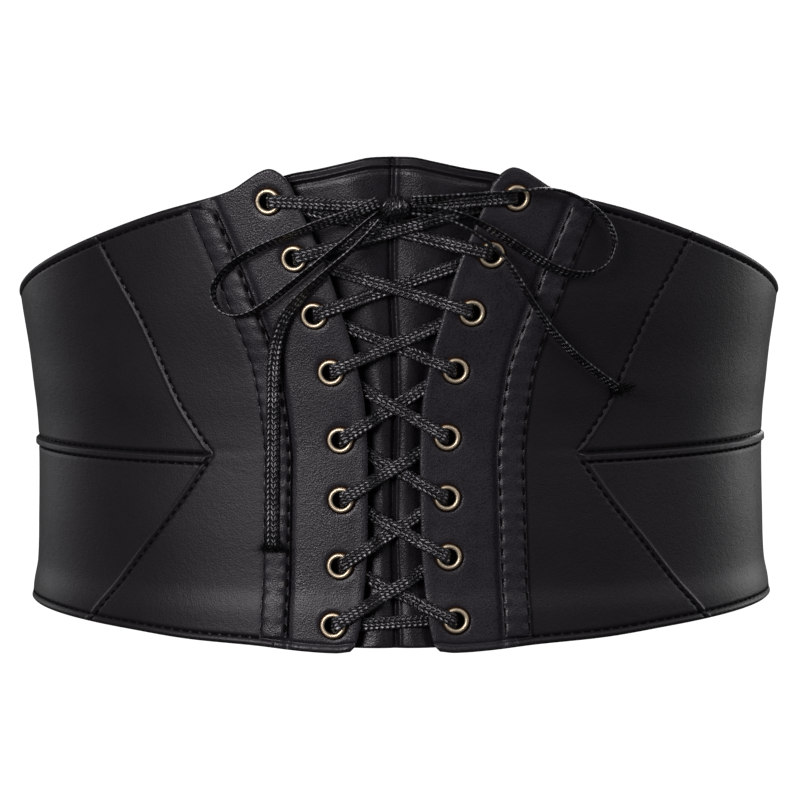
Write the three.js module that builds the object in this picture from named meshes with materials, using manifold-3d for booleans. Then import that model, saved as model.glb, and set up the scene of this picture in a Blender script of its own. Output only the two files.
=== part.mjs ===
// Corset belt: a waist cincher of faux leather, laced down the front through brass eyelets.
// Millimetres, +Z up, the front faces -Y, and left and right are those of someone facing the front.
// The origin is the middle of the waist opening, at the height of the waist seam.
// A place on the belt is given by its arc, the length along the inner waist line from the front
// centre (right is positive), its height over the waist seam, and its lift, the distance outwards
// from the inner face of the leather.
import * as THREE from 'three';
import { mergeVertices } from 'three/addons/utils/BufferGeometryUtils.js';
import Module from 'manifold-3d';

const wasm = await Module();
wasm.setup();

// Waist opening, and how far the wall leans out over it at the top and bottom hems
const WAIST_WIDTH = 241;
const WAIST_DEPTH = 181;
const TOP_FLARE = 5.2;
const HEM_FLARE = 2.7;
const DEPTH_FLARE_SHARE = 0.75;

// Heights over and under the waist seam
const PEAK_RISE = 90.3;
const SIDE_RISE = 47.8;
const BACK_RISE = 45;
const FRONT_DROP = 62.2;
const SIDE_DROP = 55;
const BACK_DROP = 54.5;
const TONGUE_RISE = 93.9;
const TONGUE_SHOULDER_RISE = 80;
const TONGUE_DROP = 61;

// Arcs of the panel edges
const LACING_GAP = 16.1;
const TOP_GAP = 59;
const HEM_GAP = 27.6;
const CASING_ARC = 36.4;
const CASING_TOP_ARC = 57.3;
const CASING_HEM_ARC = 37.6;
const V_POINT_ARC = 58.5;
const V_TOP_ARC = 95.3;
const V_HEM_ARC = 106.8;
const BACK_SEAM_ARC = 222;

// Thicknesses, and the small gap that neighbouring pieces keep
const WALL = 2;
const CLEARANCE = 0.3;
const SEAM_GAP = 0.4;
const BACK_WALL = 1.6;
const CASING_WIDTH = 8.8;
const CASING_THICKNESS = 1.2;
const CASING_CROWN = 0.5;
const FELL_WIDTH = 3;
const FELL_THICKNESS = 0.9;
const FELL_STEP = 0.5;
const TONGUE_WALL = 1.8;
const TONGUE_DEPTH = 2.7;
const TONGUE_PUFF = 0.9;
const TONGUE_SEAT_GAP = 0.6;

// Eyelets
const EYELET_INSET = 8.3;
const EYELET_BORE_RADIUS = 2.65;
const EYELET_BARREL_RADIUS = 3;
const EYELET_FLANGE_RADIUS = 4;
const EYELET_CURL_RADIUS = 3.7;
const EYELET_DOME = 0.85;
const EYELET_CURL = 0.45;
const EYELET_CREST_SHARE = 0.6;
const EYELET_SIDES = 10;

// Lace and knot
const LACE_WIDTH = 4.2;
const LACE_THICKNESS = 1;
const KNOT_WIDTH = 8;
const KNOT_HEIGHT = 6.6;
const KNOT_DEPTH = 6.4;
const KNOT_LIFT = 4.5;
const KNOT_ARC = 1.2;
const KNOT_RISE = 78.4;
const KNOT_ENTRY_SHARE = 0.2;
const CROSS_OVER_LIFT = 1;
const CROSS_UNDER_LIFT = -0.3;

// Each table holds shares of the sizes named in its comment.

// Lean of the wall: height as a share of the side rise or drop, flare of the top or hem flare
const FLARE_ABOVE = [
  { height: 0, flare: 0 },
  { height: 0.05, flare: 0.003 },
  { height: 0.2, flare: 0.08 },
  { height: 0.37, flare: 0.24 },
  { height: 0.61, flare: 0.46 },
  { height: 0.9, flare: 0.85 },
  { height: 1.02, flare: 1 },
  { height: 1.71, flare: 1.73 },
  { height: 2.04, flare: 2.08 },
];
const FLARE_BELOW = [
  { height: 0, flare: 0 },
  { height: 0.14, flare: 0 },
  { height: 0.45, flare: 0.11 },
  { height: 0.76, flare: 0.26 },
  { height: 0.9, flare: 0.74 },
  { height: 1, flare: 0.89 },
  { height: 1.1, flare: 1 },
];

// Top hem: arc from the placket's front edge to the side, rise from the side rise to the peak
const TOP_HEM = [
  { arc: 0, rise: 0.9 },
  { arc: 0.018, rise: 0.965 },
  { arc: 0.04, rise: 1 },
  { arc: 0.066, rise: 0.974 },
  { arc: 0.091, rise: 0.922 },
  { arc: 0.124, rise: 0.852 },
  { arc: 0.168, rise: 0.8 },
  { arc: 0.306, rise: 0.682 },
  { arc: 0.476, rise: 0.511 },
  { arc: 0.606, rise: 0.376 },
  { arc: 0.733, rise: 0.245 },
  { arc: 0.835, rise: 0.136 },
  { arc: 0.94, rise: 0.03 },
  { arc: 1, rise: 0 },
];

// Bottom hem: arc likewise, drop from the side drop to the front drop
const BOTTOM_HEM = [
  { arc: 0, drop: 0.93 },
  { arc: 0.03, drop: 1 },
  { arc: 0.1, drop: 0.93 },
  { arc: 0.2, drop: 0.74 },
  { arc: 0.35, drop: 0.6 },
  { arc: 0.5, drop: 0.37 },
  { arc: 0.75, drop: 0.13 },
  { arc: 1, drop: 0 },
];

// Front edge of a placket: half gap from the waist's to the top's, or to the hem's
const EDGE_ABOVE = [
  { height: 0, gap: 0 },
  { height: 0.2, gap: 0.042 },
  { height: 0.3, gap: 0.113 },
  { height: 0.4, gap: 0.2 },
  { height: 0.5, gap: 0.31 },
  { height: 0.6, gap: 0.415 },
  { height: 0.7, gap: 0.54 },
  { height: 0.8, gap: 0.695 },
  { height: 0.9, gap: 0.855 },
  { height: 1, gap: 1 },
];
const EDGE_BELOW = [
  { height: 0, gap: 0 },
  { height: 0.3, gap: 0.03 },
  { height: 0.5, gap: 0.08 },
  { height: 0.7, gap: 0.25 },
  { height: 0.85, gap: 0.42 },
  { height: 0.93, gap: 0.58 },
  { height: 0.975, gap: 0.76 },
  { height: 1, gap: 1 },
];

// Middle line of the boning casing: arc from the waist's to the top's
const CASING_ABOVE = [
  { height: 0, arc: 0 },
  { height: 0.15, arc: 0.05 },
  { height: 0.3, arc: 0.13 },
  { height: 0.4, arc: 0.235 },
  { height: 0.5, arc: 0.36 },
  { height: 0.7, arc: 0.6 },
  { height: 0.9, arc: 0.865 },
  { height: 1, arc: 1 },
];

// V seam: arc from the point at the waist to the top's, or to the hem's
const V_ABOVE = [
  { height: 0, arc: 0 },
  { height: 0.166, arc: 0.25 },
  { height: 0.337, arc: 0.416 },
  { height: 0.59, arc: 0.617 },
  { height: 0.8, arc: 0.82 },
  { height: 1, arc: 1 },
];
const V_BELOW = [
  { height: 0, arc: 0 },
  { height: 0.244, arc: 0.213 },
  { height: 0.522, arc: 0.495 },
  { height: 0.785, arc: 0.764 },
  { height: 1, arc: 1 },
];

// Top edge of the tongue: arc from its middle to its side, fall from its top to its shoulder
const TONGUE_TOP = [
  { arc: 0, fall: 0 },
  { arc: 0.124, fall: 0.02 },
  { arc: 0.228, fall: 0.11 },
  { arc: 0.41, fall: 0.27 },
  { arc: 0.57, fall: 0.38 },
  { arc: 0.76, fall: 0.62 },
  { arc: 1, fall: 1 },
];

// Eyelets from the top down: heights on each side as shares of the peak rise, or, where
// negative, of the front drop
const EYELETS = [
  { left: 0.889, right: 0.897 },
  { left: 0.692, right: 0.702 },
  { left: 0.495, right: 0.502 },
  { left: 0.296, right: 0.3 },
  { left: 0.058, right: 0.066 },
  { left: -0.22, right: -0.212 },
  { left: -0.555, right: -0.511 },
  { left: -0.857, right: -0.834 },
];

// Routes of the free lace, from the knot. Each point has its arc, height and lift, and the lean of
// the lace's width: 0 lies in the belt's surface to the right of the way it runs, 90 stands off it.
const ROUTE_LOOP_LEFT = [
  { arc: -3.6, height: 79.9, lift: 5.4, lean: 25 },
  { arc: -11.5, height: 76.2, lift: 5.6, lean: 35 },
  { arc: -19.9, height: 73.2, lift: 5.8, lean: 45 },
  { arc: -28.5, height: 69.9, lift: 6, lean: 60 },
  { arc: -36.8, height: 66.2, lift: 6.2, lean: 62 },
  { arc: -44.6, height: 61.8, lift: 6.5, lean: 66 },
  { arc: -49.4, height: 57.9, lift: 6.7, lean: 76 },
  { arc: -52.3, height: 53.4, lift: 6.8, lean: 85 },
  { arc: -52.2, height: 48.6, lift: 6.8, lean: 92 },
  { arc: -49.3, height: 45.2, lift: 6.8, lean: 98 },
  { arc: -44.9, height: 44.4, lift: 6.7, lean: 104 },
  { arc: -40.4, height: 46, lift: 6.5, lean: 108 },
  { arc: -36, height: 48.9, lift: 6.2, lean: 110 },
  { arc: -31.4, height: 52.6, lift: 6, lean: 110 },
  { arc: -26.3, height: 56.9, lift: 5.8, lean: 108 },
  { arc: -19.4, height: 62.8, lift: 5.7, lean: 104 },
  { arc: -12.6, height: 68.8, lift: 5.6, lean: 100 },
  { arc: -7.6, height: 73.4, lift: 6, lean: 100 },
  { arc: -3.4, height: 77, lift: 6.4, lean: 100 },
];
const ROUTE_TAIL_LEFT = [
  { arc: -3, height: 74.6, lift: 5.4, lean: 78 },
  { arc: -6.2, height: 70.7, lift: 5.3, lean: 78 },
  { arc: -10.8, height: 65.6, lift: 5.3, lean: 75 },
  { arc: -16, height: 60.8, lift: 5.2, lean: 70 },
  { arc: -21.2, height: 55.8, lift: 5.1, lean: 62 },
  { arc: -26.2, height: 50.9, lift: 5.1, lean: 54 },
  { arc: -30, height: 46.4, lift: 5.2, lean: 42 },
  { arc: -32.9, height: 41.4, lift: 5.3, lean: 28 },
  { arc: -35, height: 34.5, lift: 5.3, lean: 14 },
  { arc: -36.1, height: 26, lift: 5.2, lean: 4 },
  { arc: -36.7, height: 16, lift: 5.1, lean: 0 },
  { arc: -37.3, height: 2, lift: 5.1, lean: 0 },
  { arc: -37.5, height: -13.7, lift: 5.1, lean: 0 },
  { arc: -37.5, height: -28, lift: 5.1, lean: 0 },
];
const ROUTE_LOOP_RIGHT = [
  { arc: 6, height: 80.2, lift: 5.7, lean: 140 },
  { arc: 12.4, height: 80.9, lift: 6.4, lean: 120 },
  { arc: 20.6, height: 81.8, lift: 7, lean: 105 },
  { arc: 28.6, height: 82.5, lift: 7.2, lean: 96 },
  { arc: 36.2, height: 83.1, lift: 7.2, lean: 93 },
  { arc: 43.4, height: 83.6, lift: 7.1, lean: 92 },
  { arc: 49.9, height: 82.2, lift: 7, lean: 91 },
  { arc: 55.8, height: 78.9, lift: 7, lean: 90 },
  { arc: 60.6, height: 74.9, lift: 6.8, lean: 90 },
  { arc: 64, height: 70.3, lift: 6.2, lean: 88 },
  { arc: 65.2, height: 65.7, lift: 6, lean: 84 },
  { arc: 63.3, height: 60.2, lift: 6.2, lean: 78 },
  { arc: 58.4, height: 57, lift: 6.6, lean: 72 },
  { arc: 51.6, height: 57.1, lift: 6.8, lean: 66 },
  { arc: 44.8, height: 59.8, lift: 6.8, lean: 62 },
  { arc: 38.4, height: 63.9, lift: 6.8, lean: 62 },
  { arc: 31.8, height: 68.6, lift: 6.8, lean: 66 },
  { arc: 25.2, height: 73, lift: 6.6, lean: 74 },
  { arc: 18.6, height: 76.4, lift: 6.2, lean: 82 },
  { arc: 12.4, height: 78.2, lift: 6.2, lean: 86 },
  { arc: 5.9, height: 78.4, lift: 6.4, lean: 88 },
];
const ROUTE_TAIL_RIGHT = [
  { arc: 5.6, height: 76.4, lift: 6.3, lean: 90 },
  { arc: 12.6, height: 75.4, lift: 6.2, lean: 90 },
  { arc: 19.9, height: 72.4, lift: 6.1, lean: 90 },
  { arc: 26.3, height: 67.8, lift: 6.6, lean: 90 },
  { arc: 31, height: 63.4, lift: 6.9, lean: 90 },
  { arc: 34.4, height: 58.6, lift: 6.9, lean: 90 },
  { arc: 38, height: 52.6, lift: 6.8, lean: 90 },
  { arc: 41.6, height: 46.8, lift: 6.7, lean: 90 },
  { arc: 45.6, height: 41, lift: 6.6, lean: 88 },
  { arc: 51, height: 35, lift: 6, lean: 86 },
  { arc: 57.6, height: 29.2, lift: 5.2, lean: 84 },
  { arc: 64, height: 24.4, lift: 4.9, lean: 82 },
  { arc: 70.6, height: 19.8, lift: 4.8, lean: 80 },
];

// Finishes
const FINISHES = {
  leather: { color: 0x2b2a2e, roughness: 0.55, metalness: 0 },
  pebbled: { color: 0x333236, roughness: 0.6, metalness: 0 },
  elastic: { color: 0x1d1c1f, roughness: 0.85, metalness: 0 },
  brass: { color: 0xb08d5c, roughness: 0.35, metalness: 1 },
  lace: { color: 0x161518, roughness: 0.5, metalness: 0 },
};

const SIDES = { left: -1, right: 1 };
const UP = new THREE.Vector3(0, 0, 1);
const { clamp, lerp, smoothstep } = THREE.MathUtils;

// A smooth curve through the rows of a table, from one named column to another.
function curveThrough(rows, from, to) {
  const slopes = rows.map((row, i) => {
    const before = rows[Math.max(i - 1, 0)];
    const after = rows[Math.min(i + 1, rows.length - 1)];
    return (after[to] - before[to]) / (after[from] - before[from]);
  });
  return (place) => {
    let i = 0;
    while (i < rows.length - 2 && place > rows[i + 1][from]) i += 1;
    const width = rows[i + 1][from] - rows[i][from];
    const u = clamp((place - rows[i][from]) / width, 0, 1);
    const start = rows[i][to] * (1 + 2 * u) * (1 - u) ** 2 + slopes[i] * width * u * (1 - u) ** 2;
    const end = rows[i + 1][to] * u * u * (3 - 2 * u) - slopes[i + 1] * width * u * u * (1 - u);
    return start + end;
  };
}

// The waist line is an ellipse. Its arcs are summed in small steps round one whole turn.
const TURN_STEPS = 1440;
const turnArcs = [0];
for (let i = 0; i < TURN_STEPS; i += 1) {
  const angle = (2 * Math.PI * (i + 0.5)) / TURN_STEPS;
  const speed = Math.hypot((WAIST_WIDTH / 2) * Math.cos(angle), (WAIST_DEPTH / 2) * Math.sin(angle));
  turnArcs.push(turnArcs[i] + (speed * 2 * Math.PI) / TURN_STEPS);
}
const HALF_GIRTH = turnArcs[TURN_STEPS / 2];
const QUARTER_GIRTH = HALF_GIRTH / 2;

function angleAt(arc) {
  const length = Math.abs(arc);
  const i = clamp(turnArcs.findIndex((end) => end > length), 1, TURN_STEPS);
  const part = (length - turnArcs[i - 1]) / (turnArcs[i] - turnArcs[i - 1]);
  return (Math.sign(arc) * 2 * Math.PI * (i - 1 + part)) / TURN_STEPS;
}

const flareAbove = curveThrough(FLARE_ABOVE, 'height', 'flare');
const flareBelow = curveThrough(FLARE_BELOW, 'height', 'flare');

function flareAt(height) {
  if (height > 0) return TOP_FLARE * flareAbove(height / SIDE_RISE);
  return HEM_FLARE * flareBelow(-height / SIDE_DROP);
}

// The point at a place, with the directions outwards and along the arc there.
function frameAt(arc, height, lift) {
  const angle = angleAt(arc);
  const flare = flareAt(height);
  const a = WAIST_WIDTH / 2 + flare;
  const b = WAIST_DEPTH / 2 + flare * DEPTH_FLARE_SHARE;
  const out = new THREE.Vector3(Math.sin(angle) / a, -Math.cos(angle) / b, 0).normalize();
  const along = new THREE.Vector3().crossVectors(UP, out);
  const point = new THREE.Vector3(a * Math.sin(angle), -b * Math.cos(angle), height);
  return { point: point.addScaledVector(out, lift), out, along };
}

// The direction square to the leaning wall, which an eyelet stands in
const SLOPE_STEP = WALL / 2;

function faceNormalAt(arc, height) {
  const { point: below, along } = frameAt(arc, height - SLOPE_STEP, 0);
  const { point: above } = frameAt(arc, height + SLOPE_STEP, 0);
  return along.cross(above.sub(below)).normalize();
}

// Hems and seams. A level runs from -1 at the bottom hem through 0 at the waist seam to 1 at the top.
const topHemCurve = curveThrough(TOP_HEM, 'arc', 'rise');
const bottomHemCurve = curveThrough(BOTTOM_HEM, 'arc', 'drop');
const edgeAboveCurve = curveThrough(EDGE_ABOVE, 'height', 'gap');
const edgeBelowCurve = curveThrough(EDGE_BELOW, 'height', 'gap');
const casingAboveCurve = curveThrough(CASING_ABOVE, 'height', 'arc');
const vAboveCurve = curveThrough(V_ABOVE, 'height', 'arc');
const vBelowCurve = curveThrough(V_BELOW, 'height', 'arc');
const tongueTopCurve = curveThrough(TONGUE_TOP, 'arc', 'fall');

const arcFromFront = (arc) => HALF_GIRTH - Math.abs(HALF_GIRTH - Math.abs(arc));

function topHem(arc) {
  const length = arcFromFront(arc);
  if (length > QUARTER_GIRTH) {
    return lerp(SIDE_RISE, BACK_RISE, smoothstep(length, QUARTER_GIRTH, HALF_GIRTH));
  }
  const share = (length - TOP_GAP / 2) / (QUARTER_GIRTH - TOP_GAP / 2);
  return lerp(SIDE_RISE, PEAK_RISE, topHemCurve(Math.max(share, 0)));
}

function bottomHem(arc) {
  const length = arcFromFront(arc);
  if (length > QUARTER_GIRTH) {
    return -lerp(SIDE_DROP, BACK_DROP, smoothstep(length, QUARTER_GIRTH, HALF_GIRTH));
  }
  const share = (length - HEM_GAP / 2) / (QUARTER_GIRTH - HEM_GAP / 2);
  return -lerp(SIDE_DROP, FRONT_DROP, bottomHemCurve(Math.max(share, 0)));
}

const heightAt = (arc, level) => (level > 0 ? level * topHem(arc) : -level * bottomHem(arc));

function placketEdge(level) {
  if (level > 0) return lerp(LACING_GAP, TOP_GAP, edgeAboveCurve(level)) / 2;
  return lerp(LACING_GAP, HEM_GAP, edgeBelowCurve(-level)) / 2;
}

function casingLine(level) {
  if (level > 0) return lerp(CASING_ARC, CASING_TOP_ARC, casingAboveCurve(level));
  return lerp(CASING_ARC, CASING_HEM_ARC, -level);
}

function vSeam(level) {
  if (level > 0) return lerp(V_POINT_ARC, V_TOP_ARC, vAboveCurve(level));
  return lerp(V_POINT_ARC, V_HEM_ARC, vBelowCurve(-level));
}

const tongueSide = (level) => casingLine(level) - CASING_WIDTH / 2;

function tongueHeight(arc, level) {
  if (level <= 0) return level * TONGUE_DROP;
  const fall = tongueTopCurve(Math.abs(arc) / tongueSide(1));
  return level * lerp(TONGUE_RISE, TONGUE_SHOULDER_RISE, fall);
}

const evenSteps = (count) => Array.from({ length: count + 1 }, (_, i) => i / count);

// A closed wall over a grid of columns and levels. arcOf and heightOf give a grid point's place,
// innerLift and outerLift the two faces there, and side mirrors it to the left.
function wallGeometry({ columns, levels, arcOf, heightOf = heightAt, innerLift, outerLift, side = 1 }) {
  const points = [];
  for (const lift of [outerLift, innerLift]) {
    for (const level of levels) {
      for (const column of columns) {
        const arc = arcOf(column, level);
        const height = heightOf(arc, level);
        points.push(...frameAt(side * arc, height, lift(arc, height, level)).point.toArray());
      }
    }
  }
  const across = columns.length;
  const face = across * levels.length;
  const outer = (i, j) => j * across + i;
  const inner = (i, j) => face + outer(i, j);
  const triangles = [];
  const quad = (a, b, c, d) => triangles.push([a, b, c], [a, c, d]);
  const lastColumn = across - 1;
  const lastLevel = levels.length - 1;
  for (let j = 0; j < lastLevel; j += 1) {
    for (let i = 0; i < lastColumn; i += 1) {
      quad(outer(i, j), outer(i + 1, j), outer(i + 1, j + 1), outer(i, j + 1));
      quad(inner(i, j), inner(i, j + 1), inner(i + 1, j + 1), inner(i + 1, j));
    }
    quad(outer(0, j), outer(0, j + 1), inner(0, j + 1), inner(0, j));
    quad(outer(lastColumn, j), inner(lastColumn, j), inner(lastColumn, j + 1), outer(lastColumn, j + 1));
  }
  for (let i = 0; i < lastColumn; i += 1) {
    quad(outer(i, 0), inner(i, 0), inner(i + 1, 0), outer(i + 1, 0));
    quad(outer(i, lastLevel), outer(i + 1, lastLevel), inner(i + 1, lastLevel), inner(i, lastLevel));
  }
  const geometry = new THREE.BufferGeometry();
  geometry.setAttribute('position', new THREE.Float32BufferAttribute(points, 3));
  geometry.setIndex(triangles.flatMap(([a, b, c]) => (side > 0 ? [a, b, c] : [a, c, b])));
  return geometry;
}

const flat = (lift) => () => lift;

// A panel of the belt's own wall between two seams, with half a seam gap kept on each side.
function panelGeometry({ from, to, columns, levels, side, ...rest }) {
  return wallGeometry({
    columns,
    levels,
    side,
    arcOf: (column, level) => lerp(from(level), to(level), column),
    innerLift: flat(0),
    outerLift: flat(WALL),
    ...rest,
  });
}

// Conversions between a plain geometry and a solid that can be cut.
function solidOf(geometry) {
  const plain = geometry.clone();
  plain.deleteAttribute('normal');
  plain.deleteAttribute('uv');
  const merged = mergeVertices(plain);
  return new wasm.Manifold(new wasm.Mesh({
    numProp: 3,
    vertProperties: new Float32Array(merged.attributes.position.array),
    triVerts: new Uint32Array(merged.index.array),
  }));
}

function geometryOf(solid) {
  const mesh = solid.getMesh();
  const geometry = new THREE.BufferGeometry();
  geometry.setAttribute('position', new THREE.Float32BufferAttribute(mesh.vertProperties, mesh.numProp));
  geometry.setIndex(Array.from(mesh.triVerts));
  return geometry;
}

const belt = new THREE.Group();

function addPiece(name, geometry, finish) {
  const mesh = new THREE.Mesh(geometry, new THREE.MeshStandardMaterial(FINISHES[finish]));
  mesh.name = name;
  belt.add(mesh);
  return mesh;
}

// Where each eyelet sits: its height from the table, its arc a fixed inset behind the placket edge.
function eyeletAt(sideName, index) {
  const share = EYELETS[index][sideName];
  const height = share > 0 ? share * PEAK_RISE : share * FRONT_DROP;
  const level = share > 0 ? height / topHem(0) : -height / bottomHem(0);
  return { arc: SIDES[sideName] * (placketEdge(level) + EYELET_INSET), height };
}

const EYELET_AXIS = new THREE.Vector3(0, 1, 0);

function eyeletTurn(arc, height) {
  return new THREE.Quaternion().setFromUnitVectors(EYELET_AXIS, faceNormalAt(arc, height));
}

// Levels between the hems that all the panels of the front share, so that their walls run level
const BELOW_WAIST = [-0.9, -0.785, -0.65, -0.44, -0.22];
const ABOVE_WAIST = [0.166, 0.337, 0.46, 0.59, 0.7, 0.8, 0.9];

// Plackets, with a hole for each eyelet
const PLACKET_COLUMNS = [0, 0.1, 0.25, 0.45, 0.7, 1];
const PLACKET_LEVELS = [-1, -0.975, ...BELOW_WAIST, 0, ...ABOVE_WAIST, 0.96, 1];

function placketGeometry(sideName) {
  const blank = panelGeometry({
    from: placketEdge,
    to: (level) => casingLine(level) - SEAM_GAP / 2,
    columns: PLACKET_COLUMNS,
    levels: PLACKET_LEVELS,
    side: SIDES[sideName],
  });
  const holeRadius = (EYELET_BARREL_RADIUS + CLEARANCE) / Math.cos(Math.PI / EYELET_SIDES);
  let solid = solidOf(blank);
  EYELETS.forEach((_, index) => {
    const { arc, height } = eyeletAt(sideName, index);
    const { point } = frameAt(arc, height, WALL / 2);
    const punch = new THREE.CylinderGeometry(holeRadius, holeRadius, WALL * 3, EYELET_SIDES);
    punch.applyQuaternion(eyeletTurn(arc, height));
    punch.translate(point.x, point.y, point.z);
    solid = solid.subtract(solidOf(punch));
  });
  return geometryOf(solid);
}

// Boning casing: a crowned strip on the seam between placket and front panel
const CASING_LEVELS = [-0.94, ...BELOW_WAIST, 0, ...ABOVE_WAIST, 0.965];

function casingGeometry(side) {
  const base = WALL + CLEARANCE;
  return wallGeometry({
    columns: [-0.5, 0, 0.5],
    levels: CASING_LEVELS,
    side,
    arcOf: (column, level) => casingLine(level) + column * CASING_WIDTH,
    heightOf: (arc, level) => heightAt(casingLine(level), level),
    innerLift: flat(base),
    outerLift: (arc, height, level) => {
      const crown = 1 - Math.abs(arc - casingLine(level)) / (CASING_WIDTH / 2);
      return base + CASING_THICKNESS + CASING_CROWN * crown;
    },
  });
}

const FRONT_LEVELS = [-1, ...BELOW_WAIST, 0, ...ABOVE_WAIST, 1];

function frontPanelGeometry(side) {
  return panelGeometry({
    from: (level) => casingLine(level) + SEAM_GAP / 2,
    to: (level) => vSeam(level) - SEAM_GAP / 2,
    columns: evenSteps(4),
    levels: FRONT_LEVELS,
    side,
  });
}

const SIDE_COLUMNS = evenSteps(8);

function upperSideGeometry(side) {
  return panelGeometry({
    from: (level) => vSeam(level) + SEAM_GAP / 2,
    to: () => BACK_SEAM_ARC - SEAM_GAP / 2,
    columns: SIDE_COLUMNS,
    levels: [0, 0.166, 0.337, 0.59, 0.8, 1],
    heightOf: (arc, level) => lerp(SEAM_GAP / 2, topHem(arc), level),
    side,
  });
}

// The lower side panel's top edge is felled: its turned seam allowance stands proud as a band.
function lowerSideGeometry(side) {
  const foldStart = -FELL_WIDTH / SIDE_DROP;
  const foldEnd = -(FELL_WIDTH + FELL_STEP) / SIDE_DROP;
  return panelGeometry({
    from: (level) => vSeam(level) + SEAM_GAP / 2,
    to: () => BACK_SEAM_ARC - SEAM_GAP / 2,
    columns: SIDE_COLUMNS,
    levels: [-1, ...BELOW_WAIST, foldEnd, foldStart, 0],
    heightOf: (arc, level) => -lerp(SEAM_GAP / 2, -bottomHem(arc), -level),
    outerLift: (arc, height, level) => WALL + (level < foldStart ? 0 : FELL_THICKNESS),
    side,
  });
}

function backGeometry() {
  const start = BACK_SEAM_ARC + SEAM_GAP / 2;
  return wallGeometry({
    columns: evenSteps(20),
    levels: [-1, -0.5, 0, 0.5, 1],
    arcOf: (column) => lerp(start, 2 * HALF_GIRTH - start, column),
    innerLift: flat((WALL - BACK_WALL) / 2),
    outerLift: flat((WALL + BACK_WALL) / 2),
  });
}

// Tongue: two puffed halves beside a seam in the gap, low behind the eyelets and the lace, and
// rising at its sides to the plackets that it is sewn to.
const TONGUE_SHAPE = [
  { arc: 0, puff: 0 },
  { arc: 0.2, puff: 0.75 },
  { arc: 0.5, puff: 1 },
  { arc: 0.85, puff: 0.45 },
  { arc: 1, puff: 0 },
];
const tonguePuff = curveThrough(TONGUE_SHAPE, 'arc', 'puff');
const TONGUE_REST = EYELET_INSET + EYELET_FLANGE_RADIUS;

function tongueLift(arc, height, level) {
  const length = Math.abs(arc);
  const edge = placketEdge(level);
  if (length < edge) return -TONGUE_DEPTH + TONGUE_PUFF * tonguePuff(length / edge);
  return -lerp(TONGUE_DEPTH, TONGUE_SEAT_GAP, smoothstep(length, edge + TONGUE_REST, tongueSide(level)));
}

// Columns on one half: shares of the gap up to 1, then shares of the rest of the tongue's width
const TONGUE_COLUMNS = [0.2, 0.5, 0.85, 1, 1.45, 1.75, 2];

function tongueGeometry() {
  return wallGeometry({
    columns: [...TONGUE_COLUMNS.map((column) => -column).reverse(), 0, ...TONGUE_COLUMNS],
    levels: [-1, -0.9, -0.75, -0.45, -0.15, 0.1, 0.3, 0.5, 0.7, 0.86, 1],
    arcOf: (column, level) => {
      const share = Math.abs(column);
      const edge = placketEdge(level);
      const arc = share < 1 ? share * edge : lerp(edge, tongueSide(level), share - 1);
      return Math.sign(column) * arc;
    },
    heightOf: tongueHeight,
    innerLift: (...place) => tongueLift(...place) - TONGUE_WALL,
    outerLift: tongueLift,
  });
}

// Eyelet: domed flange in front of the leather, barrel through it and curl behind it
function eyeletGeometry() {
  const back = -CLEARANCE;
  const front = WALL + CLEARANCE;
  const profile = [
    [EYELET_BORE_RADIUS, back - EYELET_CURL],
    [EYELET_CURL_RADIUS, back - EYELET_CURL],
    [EYELET_CURL_RADIUS, back],
    [EYELET_BARREL_RADIUS, back],
    [EYELET_BARREL_RADIUS, front],
    [EYELET_FLANGE_RADIUS, front],
    [lerp(EYELET_BARREL_RADIUS, EYELET_FLANGE_RADIUS, EYELET_CREST_SHARE), front + EYELET_DOME],
    [EYELET_BORE_RADIUS, front + EYELET_DOME / 2],
    [EYELET_BORE_RADIUS, back - EYELET_CURL],
  ];
  return new THREE.LatheGeometry(profile.map(([r, y]) => new THREE.Vector2(r, y)), EYELET_SIDES);
}

// Section of the flat lace, with its corners taken off
function laceSection(corners) {
  const w = LACE_WIDTH / 2;
  const t = LACE_THICKNESS / 2;
  const eight = [[w, -t / 2], [w, t / 2], [w - t / 2, t], [t / 2 - w, t]];
  const six = [[w, 0], [w - t, t], [t - w, t]];
  const half = corners === 8 ? eight : six;
  const outline = [...half, ...half.map(([x, y]) => [-x, -y])];
  return new THREE.Shape(outline.map(([x, y]) => new THREE.Vector2(x, y)));
}

// A path that runs straight from station to station, with the lace's width held to each
// station's own direction.
class LacePath extends THREE.Curve {
  constructor(stations) {
    super();
    this.stations = stations;
  }

  getSpacedPoints() {
    return this.stations.map(({ point }) => point.clone());
  }

  computeFrenetFrames() {
    const { stations } = this;
    const tangents = stations.map((_, i) => {
      const before = stations[Math.max(i - 1, 0)].point;
      const after = stations[Math.min(i + 1, stations.length - 1)].point;
      return new THREE.Vector3().subVectors(after, before).normalize();
    });
    const normals = stations.map(({ across }, i) => {
      const slip = across.dot(tangents[i]);
      return across.clone().addScaledVector(tangents[i], -slip).normalize();
    });
    const binormals = tangents.map((tangent, i) => new THREE.Vector3().crossVectors(tangent, normals[i]));
    return { tangents, normals, binormals };
  }
}

function laceGeometry(stations, corners) {
  const extrudePath = new LacePath(stations);
  return new THREE.ExtrudeGeometry(laceSection(corners), { steps: stations.length - 1, extrudePath });
}

// A station in the belt's surface, with the lace's width along (acrossArc, acrossUp).
function layStation(arc, height, lift, acrossArc, acrossUp) {
  const { point, along } = frameAt(arc, height, lift);
  const across = along.multiplyScalar(acrossArc).addScaledVector(UP, acrossUp).normalize();
  return { point, across };
}

// Lifts of the lace's middle: over the leather, over and out of an eyelet, and behind the leather
const OVER_LEATHER = WALL + CLEARANCE + LACE_THICKNESS / 2;
const OVER_EYELET = OVER_LEATHER + EYELET_DOME + CLEARANCE;
const BEHIND_EDGE = -(CLEARANCE + LACE_THICKNESS / 2) - CLEARANCE / 2;
const BEHIND_EYELET = -(EYELET_CURL + 2 * CLEARANCE + LACE_THICKNESS / 2) - CLEARANCE / 2;
const IN_BORE = WALL / 4;

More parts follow.
